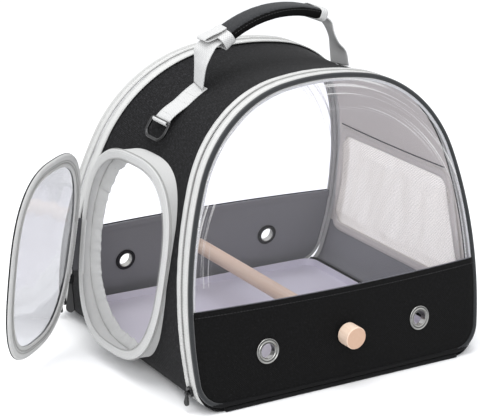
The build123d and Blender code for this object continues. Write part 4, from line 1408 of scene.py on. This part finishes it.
# ---- side door
@dataclass
class SideDoor:
    """Round side door: pale collar, its zipper, and the flap that stands open on its hinge strip."""

    shop: Workshop
    count: int = 240
    hinge_half: float = 28.0
    zip_inset: float = 8.7

    def ring(self, name: str, section: list[tuple[float, float]], is_open: bool, wave: float = 0.0,
             seed: float = 0.0) -> Object:
        """Closed ring round the door.

        Args:
            name: object's name.
            section: inset and level of each point of its closed section.
            is_open: the ring belongs to the open flap.
            wave: height of its puckers.
            seed: their pattern.

        Returns:
            The ring.
        """
        angle = DOOR.angles(self.count)
        columns = []
        for inset, level in section:
            x, y = DOOR.outline(angle, inset)
            puckers = ripple(stack(x, y), 9.0, seed + inset * 0.2) * wave
            columns.append(DOOR.world(x, y, level + puckers, is_open))
        made = net(name, np.stack(columns, 1), wrap_rows=True, wrap_cols=True)
        return outward_normals(made)

    def teeth(self, name: str, level: float, is_open: bool, tip: float) -> Object:
        """Coil turns along the door's zipper, without the stretch beside the hinge.

        Args:
            name: name of the piece.
            level: local height of the coil.
            is_open: the coil belongs to the open flap.
            tip: 1.0 where the turns stand outwards, -1.0 where they stand inwards.

        Returns:
            The coil.
        """
        x, y = DOOR.outline(DOOR.angles(480), self.zip_inset)
        keep = ~((x < 0) & (np.abs(y - DOOR.hinge[1]) < self.hinge_half))
        start = int(np.argmax(~keep & np.roll(keep, -1)))
        order = np.roll(np.arange(len(x)), -start - 1)
        order = order[keep[order]]
        path = DOOR.world(x[order], y[order], level, is_open)
        up = np.tile(DOOR.outward(is_open) * tip, (len(path), 1))
        return self.shop.coil(name, (path, up, False), self.shop.fine_tooth)

    def stitch_ring(self, name: str, insets: list[float], level: float, is_open: bool, tip: float,
                    body: Body, dark: bool = False) -> None:
        """Rows of stitches round the door.

        Args:
            name: name of the piece.
            insets: how far inside the outline each row runs.
            level: local height of the rows.
            is_open: they belong to the open flap.
            tip: 1.0 on an outer face, -1.0 on an inner one.
            body: body that they move with.
            dark: black thread, and otherwise pale.
        """
        angle = DOOR.angles(300)
        out = DOOR.outward(is_open)
        rows = []
        for inset in insets:
            x, y = DOOR.outline(angle, inset)
            path = DOOR.world(x, y, level, is_open)
            rows.append((path, np.tile(out * tip, (len(path), 1)), True))
        slot = "black_oxford_cloth" if dark else "light_grey_tape"
        self.shop.stitches(name, rows, body, slot, dark, 3.0)

    def seam_shadow_cord(self, name: str, inset: float, level: float, is_open: bool, body: Body) -> None:
        """Thin darker cord that runs round the door: a painted shadow in the groove of a seam."""
        section = [(inset + c, level + s) for c, s in circle(0.42, 6)]
        cord = self.ring(name, section, is_open)
        self.shop.hand_in(cord, "coil", body, "light_grey_coil")

    def make_collar(self) -> None:
        """Cloth wall that stands out from the band, its rim, its zipper and the gathered lining."""
        angle = DOOR.angles(self.count)
        x0, y0 = DOOR.outline(angle, 0.0)
        foot = DOOR.band_level(x0, y0) - 4.5
        columns = []
        for share in np.linspace(0, 1, 14):
            level = foot * (1 - share) - 0.4 * share
            folds = ripple(stack(x0, y0 + share * 9), 17.0, 4.0) * 0.7 * math.sin(math.pi * share)
            pinch = 0.6 * math.sin(math.pi * share)
            x, y = DOOR.outline(angle, pinch - folds)
            columns.append(DOOR.world(x, y, level))
        wall = net("door_collar_cloth", np.stack(columns, 1), wrap_rows=True)
        first = wall.data.polygons[0]
        centre = Vector(DOOR.world(0.0, 0.0, 0.0)) * MM
        if first.normal.dot(first.center - centre) < 0:
            wall.data.flip_normals()
        area = thicken(wall, 1.2)
        self.shop.hand_in(wall, "collar", Body.CARRIER, "light_grey_tape", "door_collar")
        section = [(-0.2, -1.4), (-0.3, -0.4), (0.2, 0.15), (1.6, 0.1), (7.6, -0.05), (8.2, -0.1),
                   (8.2, -1.0), (1.6, -1.2)]
        rim = self.ring("door_rim_binding", section, False, 0.12, 2.0)
        self.shop.hand_in(rim, "collar", Body.CARRIER, "light_grey_tape", "door_rim_tape")
        teeth = self.teeth("door_rim_coil_teeth", -0.1, False, 1.0)
        self.shop.hand_in(teeth, None, Body.CARRIER, "light_grey_coil", "door_rim_coil")
        self.stitch_ring("door_rim_stitches", [2.2, 6.6], 0.0, False, 1.0, Body.CARRIER)
        # painted shadow along the rim's seam
        self.seam_shadow_cord("door_rim_seam", -0.75, -2.4, False, Body.CARRIER)
        rows = []
        along = stack(np.arange(self.count) * 2.3, angle * 0)
        folds, fine = ripple(along, 13.0, 6.0), ripple(along, 4.2, 2.0)
        base = DOOR.band_level(*DOOR.outline(angle, 2.0))
        for share in np.linspace(0, 1, 9):
            inset = 1.8 + share * (9.5 + 3.6 * folds + 3.4 * fine) + 0.8 * math.sin(share * 9) * fine
            x, y = DOOR.outline(angle, inset)
            level = base + 4.0 - 7.0 * share**1.4 + share * (2.6 * folds + 1.6 * fine)
            rows.append(DOOR.world(x, y, np.minimum(level, -2.5)))
        ruffle = net("door_lining_ruffle", np.stack(rows, 1), wrap_rows=True)
        area = thicken(ruffle, 0.6)
        self.shop.hand_in(ruffle, "collar", Body.CARRIER, "light_grey_tape")

    def make_flap(self) -> None:
        """Flap: padded pale border, black outer border, clear sheet and its half of the zipper."""
        section = [(0.0, 3.3), (0.2, 2.6), (1.2, 2.15), (4.0, 1.85), (7.6, 2.1), (9.8, 2.3), (12.6, 2.3),
                   (13.0, 2.7), (12.6, 3.1), (4.0, 3.2)]
        border = self.ring("flap_border", section, True, 0.12, 7.0)
        self.shop.hand_in(border, "collar", Body.DOOR, "light_grey_tape", "door_flap_tape")
        teeth = self.teeth("flap_coil_teeth", 2.2, True, -1.0)
        self.shop.hand_in(teeth, None, Body.DOOR, "light_grey_coil", "door_flap_coil")
        section = [(-0.1, 3.3), (-0.3, 4.2), (0.6, 5.0), (3.0, 5.35), (10.0, 5.3), (12.6, 4.9), (13.1, 4.3),
                   (12.4, 3.95), (3.0, 3.95)]
        cover = self.ring("flap_cover_cloth", section, True, 0.15, 11.0)
        self.shop.hand_in(cover, "oxford", Body.DOOR, "black_oxford_cloth", "door_flap_cover")
        self.stitch_ring("flap_border_stitches", [1.6, 11.2], 2.1, True, -1.0, Body.DOOR)
        # painted shadow along the border's seam
        self.seam_shadow_cord("flap_border_seam", 6.3, 1.75, True, Body.DOOR)
        self.stitch_ring("flap_cover_stitches", [2.0, 11.4], 5.35, True, 1.0, Body.DOOR, True)
        angle = DOOR.angles(160)
        shares = np.linspace(0, 1, 34)
        edge_x, edge_y = DOOR.outline(angle, 3.2)
        x, y = edge_x[None] * shares[:, None], edge_y[None] * shares[:, None]
        bulge = 3.15 + 1.6 * (1 - shares[:, None] ** 2)
        sheet = net("flap_clear_sheet", DOOR.world(x, y, bulge, True), stack(x, y), wrap_cols=True)
        outward_normals(sheet)
        area = thicken(sheet, 0.7, Vector(DOOR.outward(True)))
        self.shop.hand_in(sheet, "flap_clear", Body.DOOR, "clear_sheet", "door_window")

    def make_hinge(self) -> None:
        """Dark tape that is sewn to the collar and to the flap and bends between them."""
        middle = DOOR.hinge[1]
        y = np.linspace(middle - self.hinge_half + 1, middle + self.hinge_half - 1, 26)
        ox, oy = DOOR.outline(DOOR.angles(2000), 0.0)
        left = ox < 0
        order = np.argsort(oy[left])
        edge = np.interp(y, oy[left][order], ox[left][order])
        stations = [DOOR.world(edge - 1.6, y, drop) for drop in (-15.0, -12.0, -8.0, -4.0, -1.0, 2.0, 4.6)]
        stations.append(DOOR.world(DOOR.hinge[0] - 0.6, y, 6.5))
        for inset, level in ((-0.4, 6.2), (2.0, 5.9), (5.5, 5.75)):
            stations.append(DOOR.world(edge + inset, y, level, True))
        strip = net("door_hinge_tape", np.stack(stations, 0))
        area = thicken(strip, 0.9)
        self.shop.dress(strip, "band")
        start = Vector(DOOR.world(-76.0, middle, -1.0)) * MM
        end = Vector(DOOR.world(-71.0, middle, DOOR.hinge[2], True)) * MM
        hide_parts("door_hinge_strip", "door_hinge_tab")
        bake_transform(strip)
        log.info("%s bends between carrier and side_door", strip.name)

    def make(self) -> None:
        """Builds every piece of the door."""
        self.make_collar()
        self.make_flap()
        self.make_hinge()


# ---- handle and webbing
@dataclass
class CarryHandle:
    """Padded grip on a webbing strap, and the webbing tabs that hold the two D-rings."""

    shop: Workshop
    grip_left: tuple[float, float] = (-66.0, 326.0)
    grip_crest: tuple[float, float] = (-10.0, 346.5)
    grip_right: tuple[float, float] = (44.0, 340.5)
    anchor: float = 86.0
    width: float = 25.0
    thickness: float = 1.6
    half_width: float = 15.0
    half_height: float = 5.7
    underside_below: float = 4.4
    tab_level: float = 2.6
    loop_turn: float = 53.0
    loop_stand: float = 3.35
    loop_radius: float = 2.55
    voxel: float = 2.6
    pinned: float = 17.0
    swell: float = 0.9
    frames: int = 20
    foam: dict[str, float] = field(default_factory=lambda: {
        "quality": 6, "mass": 0.3, "use_pressure": True, "uniform_pressure_force": 3.0,
        "tension_stiffness": 25, "compression_stiffness": 25, "bending_stiffness": 2.0})

    def arc(self) -> tuple[Array, float, float, float]:
        """Centre, radius and end angles of the grip's arc."""
        a, b, c = (np.array(p) for p in (self.grip_left, self.grip_crest, self.grip_right))
        d = 2 * (a[0] * (b[1] - c[1]) + b[0] * (c[1] - a[1]) + c[0] * (a[1] - b[1]))
        x = ((a @ a) * (b[1] - c[1]) + (b @ b) * (c[1] - a[1]) + (c @ c) * (a[1] - b[1])) / d
        z = ((a @ a) * (c[0] - b[0]) + (b @ b) * (a[0] - c[0]) + (c @ c) * (b[0] - a[0])) / d
        centre = np.array((x, z))
        ends = [math.atan2(*(p - centre)[::-1]) for p in (a, c)]
        return centre, float(np.linalg.norm(b - centre)), ends[0], ends[1]

    def grip_line(self, count: int) -> tuple[Array, Array]:
        """Centre line of the grip and its up directions."""
        centre, radius, start, stop = self.arc()
        a = np.linspace(start, stop, count)
        path = stack(centre[0] + radius * np.cos(a), a * 0, centre[1] + radius * np.sin(a))
        return path, stack(np.cos(a), a * 0, np.sin(a))

    def make_grip(self) -> None:
        """Foam-filled cloth grip with rounded edges, seams along both sides and pinched ends."""
        path, up = self.grip_line(48)
        section = rounded_bar(self.half_width, self.half_height, 44)
        grip = sweep("handle_grip_pad", path, up, section, False)
        self.inflate(grip, path)
        mesh = grip.data
        mesh.materials.clear()
        mesh.materials.append(self.shop.finishes["heather"])
        mesh.materials.append(self.shop.finishes["underside"])
        centre, radius, _, _ = self.arc()
        for face in mesh.polygons:
            spot = face.center / MM
            rise = math.hypot(spot.x - centre[0], spot.z - centre[1]) - radius
            faces_up = face.normal.dot(self.lift_at(spot)) >= 0.8
            face.material_index = int(rise < self.underside_below and not faces_up)
        self.give_uv(grip)
        self.shop.hand_in(grip, None, Body.HANDLE, "grip_cloth", "handle_grip")
        rows = []
        for side in (-1.0, 1.0):
            seam = path[3:-3] + up[3:-3] * 2.4 + np.array((0.0, side * (self.half_width + 0.1), 0.0))
            rows.append((seam, np.tile((0.0, side, 0.0), (len(seam), 1)), False))
        self.shop.stitches("grip_seam_stitches", rows, Body.HANDLE, "grip_cloth", True)

    def lift_at(self, spot: Vector) -> Vector:
        """Direction away from the grip's arc centre at a spot."""
        centre = self.arc()[0]
        return Vector((spot.x - centre[0], 0.0, spot.z - centre[1])).normalized()

    def give_uv(self, grip: Object) -> None:
        """Lays the cloth's UV map over the grip: along its arc and round its section."""
        mesh = grip.data
        layer = mesh.uv_layers.get(UV_NAME) or mesh.uv_layers.new(name=UV_NAME)
        centre, radius, _, _ = self.arc()
        for face in mesh.polygons:
            for index in face.loop_indices:
                p = mesh.vertices[mesh.loops[index].vertex_index].co / MM
                turn = math.atan2(p.x - centre[0], p.z - centre[1])
                rise = math.hypot(p.x - centre[0], p.z - centre[1]) - radius
                edge = math.copysign(self.half_width + rise, p.y)
                round_it = p.y if abs(face.normal.y) < 0.6 else edge
                layer.data[index].uv = (turn * radius * MM, round_it * MM)

    def inflate(self, grip: Object, path: Array) -> None:
        """Swells the grip like foam under cloth with a short cloth simulation."""
        rest = grip.modifiers.new("even", "REMESH")
        rest.mode = "VOXEL"
        rest.voxel_size = self.voxel * MM
        bake(grip)
        before = np.array([v.co for v in grip.data.vertices])
        soft = grip.modifiers.new("cloth", "CLOTH")
        for key, value in self.foam.items():
            setattr(soft.settings, key, value)
        soft.settings.effector_weights.gravity = 0.0
        pins = grip.vertex_groups.new(name="ends")
        first, last = path[0] * MM, path[-1] * MM
        for vertex in grip.data.vertices:
            near = min((vertex.co - Vector(first)).length, (vertex.co - Vector(last)).length)
            if near < self.pinned * MM:
                pins.add([vertex.index], 1.0, "REPLACE")
        soft.settings.vertex_group_mass = "ends"
        scene = bpy.context.scene
        scene.frame_start, scene.frame_end = 1, self.frames
        for step in range(1, self.frames + 1):
            scene.frame_set(step)
        bake(grip)
        after = np.array([v.co for v in grip.data.vertices])
        move = after - before
        size = np.linalg.norm(move, axis=1, keepdims=True)
        move *= np.minimum(1.0, self.swell * MM / np.maximum(size, 1e-9))
        grip.data.vertices.foreach_set("co", (before + move).astype(np.float32).ravel())
        smoother = grip.modifiers.new("ease", "SMOOTH")
        smoother.iterations = 4
        finer = grip.modifiers.new("finer", "SUBSURF")
        finer.levels = finer.render_levels = 1
        bake(grip)
        grip.data.shade_smooth()
        scene.frame_set(1)

    def ribbon(self, name: str, line: Array, facing: Array, count: int = 60,
               width: float | None = None) -> Object:
        """Webbing along a smooth line through control points.

        Args:
            name: object's name.
            line: control points.
            facing: direction of the webbing's upper face at each of them.
            count: rings along it.
            width: its width, or None for the strap's own.

        Returns:
            The webbing.
        """
        keys = np.linspace(0, 1, len(line))
        t = np.linspace(0, 1, count)
        path = stack(*(self.spline(keys, line[:, k], t) for k in range(3)))
        up = stack(*(self.spline(keys, facing[:, k], t) for k in range(3)))
        up /= np.linalg.norm(up, axis=1)[:, None]
        return sweep(name, path, up, flat_section(width or self.width, self.thickness), False)

    @staticmethod
    def spline(keys: Array, values: Array, t: Array) -> Array:
        """Smooth curve through values at evenly spaced keys."""
        step = keys[1] - keys[0]
        slope = np.gradient(values, step)
        i = np.clip((t / step).astype(int), 0, len(keys) - 2)
        u = (t - keys[i]) / step
        a, b = 2 * u**3 - 3 * u**2 + 1, u**3 - 2 * u**2 + u
        c, d = -2 * u**3 + 3 * u**2, u**3 - u**2
        return a * values[i] + b * slope[i] * step + c * values[i + 1] + d * slope[i + 1] * step

    def on_band(self, x: float, offset: float) -> Array:
        """Point above the middle of the band at x."""
        s = np.linspace(-ARCH.half / 2, ARCH.half / 2, 2000)
        reach = float(np.interp(x, ARCH.at(s)[0], s))
        return BAND.place(np.array(reach), np.array(0.0), offset)

    def make_straps(self) -> None:
        """Strap between the band and the grip at each end, with its twist."""
        left = np.array([
            self.on_band(-93.0, 2.8), (-92.3, -1.5, 297.0), (-90.8, -1.5, 306.0), (-88.5, -1.0, 314.0),
            (-83.0, 0.0, 319.6), (-75.0, 0.0, 322.6), (-63.0, 0.0, 327.6)])
        faces = np.array([(-0.75, 0.1, 0.62), (-0.95, 0.1, 0.2), (-0.97, -0.04, 0.15), (-0.93, -0.25, 0.3),
                          (-0.7, -0.15, 0.7), (-0.42, 0.0, 0.9), (-0.45, 0.0, 0.9)])
        strap = self.ribbon("handle_strap_left", left, faces)
        self.finish_strap(strap)
        right = np.array([
            self.on_band(79.5, 1.2), (75.0, 0.3, 298.5), (69.0, 0.6, 310.5), (62.0, 0.4, 322.5),
            (55.5, 0.0, 332.0), (50.0, 0.0, 336.6), (42.5, 0.0, 340.4)])
        faces = np.array([(0.85, 0.2, 0.42), (0.88, 0.12, 0.35), (0.92, -0.2, 0.28), (0.9, -0.22, 0.4),
                          (0.7, 0.0, 0.7), (0.4, 0.0, 0.9), (0.3, 0.0, 0.94)])
        strap = self.ribbon("handle_strap_right", right, faces)
        self.finish_strap(strap)

    def finish_strap(self, strap: Object) -> None:
        """Dresses a strap, hides the CAD strap and bakes its placement into its mesh."""
        self.shop.dress(strap, "webbing")
        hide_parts("handle_strap")
        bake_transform(strap)
        log.info("%s bends between carrier and handle", strap.name)

    def make_cuffs(self) -> None:
        """Webbing wrapped round each end of the grip, its free end folded under."""
        path, up = self.grip_line(200)
        for label, index, slip, tilt, wide, snug in (
                ("left", 0, 2.5, 0.08, 13.0, 16.0), ("right", 196, 0.0, -0.12, 8.0, 15.75)):
            lift = up[index]
            ahead = np.array((lift[2], 0.0, -lift[0]))
            centre = path[index] - ahead * slip
            oval = rounded_bar(snug, snug - self.half_width + self.half_height, 48)
            skew = circle(tilt * 9.0, 48)[:, :1] * ahead
            ring = centre + oval[:, :1] * np.array((0.0, 1.0, 0.0)) + oval[:, 1:] * lift + skew
            out = ring - centre
            out -= (out @ ahead)[:, None] * ahead
            cuff = sweep(f"grip_{label}_cuff", ring, out, flat_section(wide, 1.3), True)
            self.shop.hand_in(cuff, "webbing", Body.HANDLE, "grey_webbing")
        first = path[4] + up[4] * 8.6
        loop = np.array([
            first + (2.0, -1.0, 1.4), first + (-4.0, 0.0, -1.6), first + (-11.0, 2.0, -5.0),
            first + (-17.5, 4.0, -8.4), first + (-19.5, 4.5, -10.6), first + (-15.0, 3.5, -10.6),
            first + (-6.0, 1.5, -6.4)])
        faces = np.array([(-0.55, 0.1, 0.83), (-0.55, 0.1, 0.83), (-0.45, 0.1, 0.88), (-0.6, 0.1, 0.8),
                          (-0.98, 0.1, -0.1), (0.0, 0.1, -0.99), (0.42, 0.1, -0.9)])
        fold = self.ribbon("grip_strap_fold", loop, faces, 40, 17.0)
        self.shop.hand_in(fold, "webbing", Body.HANDLE, "grey_webbing")

    def make_tabs(self) -> None:
        """Webbing sewn down each shoulder, ending in the loop round the D-ring's bar."""
        loop_turn = math.radians(self.loop_turn)
        out = np.array((-math.sin(loop_turn), math.cos(loop_turn)))
        along = np.array((-math.cos(loop_turn), -math.sin(loop_turn)))
        centre, radius = np.array((-ARCH.shoulder[0], ARCH.shoulder[1])), ARCH.shoulder_radius
        hub = centre + out * (radius + self.loop_stand)
        for label, sign, foot in (("left", 1.0, self.anchor), ("right", -1.0, self.anchor - 9.0)):
            start = math.asin((foot - ARCH.shoulder[0]) / radius) + math.radians(2.5)
            points, ups = [], []
            for turn in np.linspace(start, loop_turn, 30):
                normal = np.array((-math.sin(turn), math.cos(turn)))
                points.append(centre + normal * (radius + self.tab_level - self.tab_sag(turn)))
                ups.append(normal)
            for swing in np.linspace(0, 1.5 * np.pi, 20)[1:]:
                normal = out * math.cos(swing) + along * math.sin(swing)
                points.append(hub + normal * self.loop_radius)
                ups.append(normal)
            path, up = (np.insert(np.array(flat), 1, 0.0, axis=1) * (sign, 1, 1) for flat in (points, ups))
            tab = sweep(f"{label}_tab_webbing", path, up, flat_section(self.width, 1.4), False)
            self.shop.hand_in(tab, "webbing", Body.CARRIER, "grey_webbing", f"{label}_webbing_tab")
            rows = []
            for side in (-10.5, 10.5):
                rows.append((path[2:26] + up[2:26] * 0.72 + np.array((0.0, side, 0.0)), up[2:26], False))
            for index in (8, 14, 24):
                y = np.linspace(-10, 10, 6)
                row = path[index] + up[index] * 0.72 + stack(y * 0, y, y * 0)
                rows.append((row, np.tile(up[index], (6, 1)), False))
            self.shop.stitches(f"{label}_tab_stitches", rows, Body.CARRIER, "grey_webbing")

    def tab_sag(self, turn: float) -> float:
        """Sag of the cloth under the webbing at a turn from upright round the shoulder."""
        x = -ARCH.shoulder[0] - ARCH.shoulder_radius * math.sin(turn)
        s = np.linspace(-ARCH.half / 2, 0, 1500)
        reach = np.interp(x, ARCH.at(s)[0], s)
        fade = smooth(math.degrees(turn), 40.0, 52.0)
        return float(BAND.sag(reach, np.array(0.0)) * (1 - fade)) + 1.5 * (1 - float(fade))

    def make(self) -> None:
        """Builds every piece of the handle."""
        self.make_grip()
        self.make_straps()
        self.make_cuffs()
        self.make_tabs()


# ---- hard parts
@dataclass
class HardParts:
    """Solids that keep their CAD shape and only get their finishes."""

    shop: Workshop
    nodes: dict[str, tuple[str, ...]] = field(default_factory=lambda: {
        "board": ("base_board",),
        "tray": ("tray",),
        "steel": ("front_hoop", "rear_hoop"),
        "nickel": ("front_eyelets", "rear_eyelets"),
        "beech": ("perch_dowel", "perch_knob"),
        "zinc": ("perch_insert", "perch_washer", "perch_screw"),
        "black_metal": ("front_eyelet_washers", "rear_eyelet_washers", "front_zip_sliders",
                        "rear_zip_sliders", "door_zip_slider", "left_dring", "right_dring"),
        "rubber": ("front_left_pull", "front_right_pull", "rear_left_pull", "rear_right_pull",
                   "door_pull")})

    def make(self) -> None:
        """Dresses the CAD nodes."""
        for finish, names in self.nodes.items():
            for name in names:
                self.shop.dress(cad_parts[name], finish)
                log.info("%s keeps its solid, in %s", name, finish)


# ---- studio
@dataclass
class Studio:
    """Pale floor, white backdrop, soft lamps and the camera."""

    camera_at: tuple[float, float, float] = (-0.961592, -1.394112, 0.710778)
    azimuth: float = -33.492
    elevation: float = 18.198
    roll: float = 2.5465
    focal_px: float = 1730.04
    centre_px: tuple[float, float] = (239.064, 192.009)
    frame_px: tuple[int, int] = (484, 417)
    sensor: float = 36.0
    floor_half: float = 4000.0
    aim: Vector = Vector((0.0, 0.0, 0.12))

    def make_camera(self) -> None:
        """Camera at the carrier's front left corner, a little above it."""
        a, e, r = (math.radians(v) for v in (self.azimuth, self.elevation, self.roll))
        back = Vector((math.sin(a) * math.cos(e), -math.cos(a) * math.cos(e), math.sin(e)))
        right = Vector((math.cos(a), math.sin(a), 0.0))
        up = back.cross(right)
        x = right * math.cos(r) + up * math.sin(r)
        y = up * math.cos(r) - right * math.sin(r)
        data = bpy.data.cameras.new("studio_camera")
        data.sensor_width = self.sensor
        data.lens = self.focal_px * self.sensor / self.frame_px[0]
        data.shift_x = (self.frame_px[0] / 2 - self.centre_px[0]) / self.frame_px[0]
        data.shift_y = (self.centre_px[1] - self.frame_px[1] / 2) / self.frame_px[0]
        camera = bpy.data.objects.new("studio_camera", data)
        turn = Matrix((x, y, back)).transposed().to_4x4()
        camera.matrix_world = Matrix.Translation(self.camera_at) @ turn
        bpy.context.scene.collection.objects.link(camera)
        bpy.context.scene.camera = camera

    def white_where_seen(self, tree: NodeTree, plain: Node) -> Node:
        """Mixes plain with white light for rays from the camera, mirrors and clear pieces."""
        ray = add(tree, "LightPath")
        first = add(tree, "Math", {
            0: ray.outputs["Is Camera Ray"], 1: ray.outputs["Is Glossy Ray"]}, operation="MAXIMUM")
        seen = add(tree, "Math", {0: first, 1: ray.outputs["Is Transmission Ray"]}, operation="MAXIMUM")
        white = add(tree, "Background", {"Color": (1, 1, 1, 1), "Strength": 1.0})
        return add(tree, "MixShader", {0: seen, 1: plain, 2: white})

    def make_stage(self) -> None:
        """Plain pale floor that keeps the carrier's shadow, and the white world."""
        ends = [-self.floor_half, self.floor_half]
        grid = np.stack(np.meshgrid(ends, ends, [-0.05], indexing="ij"), -1)
        floor = net("studio_floor", grid.reshape(2, 2, 3))
        if floor.data.polygons[0].normal.z < 0:
            floor.data.flip_normals()
        made, tree = new_material("studio_floor_paint")
        place = add(tree, "TexCoord")
        grain = add(tree, "TexNoise", {"Vector": place.outputs["Object"], "Scale": 3.0})
        tone = add(tree, "Mix", {0: grain, 6: linear("#fbfbfb"), 7: linear("#ffffff")}, data_type="RGBA")
        paint = add(tree, "BsdfDiffuse", {"Color": tone.outputs[2]})
        add(tree, "OutputMaterial", {0: paint})
        floor.data.materials.append(made)
        world = bpy.data.worlds.new("studio_world")
        world.use_nodes = True
        tree = world.node_tree
        tree.nodes.clear()
        plain = add(tree, "Background", {"Color": linear("#f4f6fa"), "Strength": 0.9})
        mixed = self.white_where_seen(tree, plain)
        add(tree, "OutputWorld", {0: mixed})
        bpy.context.scene.world = world

    def lamp(self, name: str, place: tuple[float, float, float], size: float, power: float) -> None:
        """Soft square lamp that looks at the carrier's middle.

        Args:
            name: the lamp's name.
            place: its middle.
            size: length of its sides.
            power: in watts.
        """
        data = bpy.data.lights.new(name, "AREA")
        data.size = size
        data.energy = power
        lamp = bpy.data.objects.new(name, data)
        turn = (self.aim - Vector(place)).to_track_quat("-Z", "Y").to_matrix().to_4x4()
        lamp.matrix_world = Matrix.Translation(place) @ turn
        bpy.context.scene.collection.objects.link(lamp)

    def make(self) -> None:
        """Builds the studio."""
        self.make_camera()
        self.make_stage()
        self.lamp("overhead_softbox", (-0.3, 0.1, 1.9), size=1.5, power=27.0)
        self.lamp("front_softbox", (-1.3, -1.7, 1.2), size=1.4, power=19.0)
        bpy.context.scene.view_settings.view_transform = "Standard"


def main() -> None:
    """Builds the carrier's pieces in order."""
    logging.basicConfig(level=logging.INFO, format="%(name)s: %(message)s")
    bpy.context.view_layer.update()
    Studio().make()
    shop = Workshop()
    SideBand(shop).make()
    EndPanel(shop, End.FRONT, line=99.0, piping="piping", skirt=14.0, body_tape=7.0).make()
    EndPanel(shop, End.REAR, line=97.0, piping="pale_piping", skirt=13.0, body_tape=12.0).make()
    SideDoor(shop).make()
    CarryHandle(shop).make()
    HardParts(shop).make()
    shop.clear()


if __name__ == "__main__":
    main()
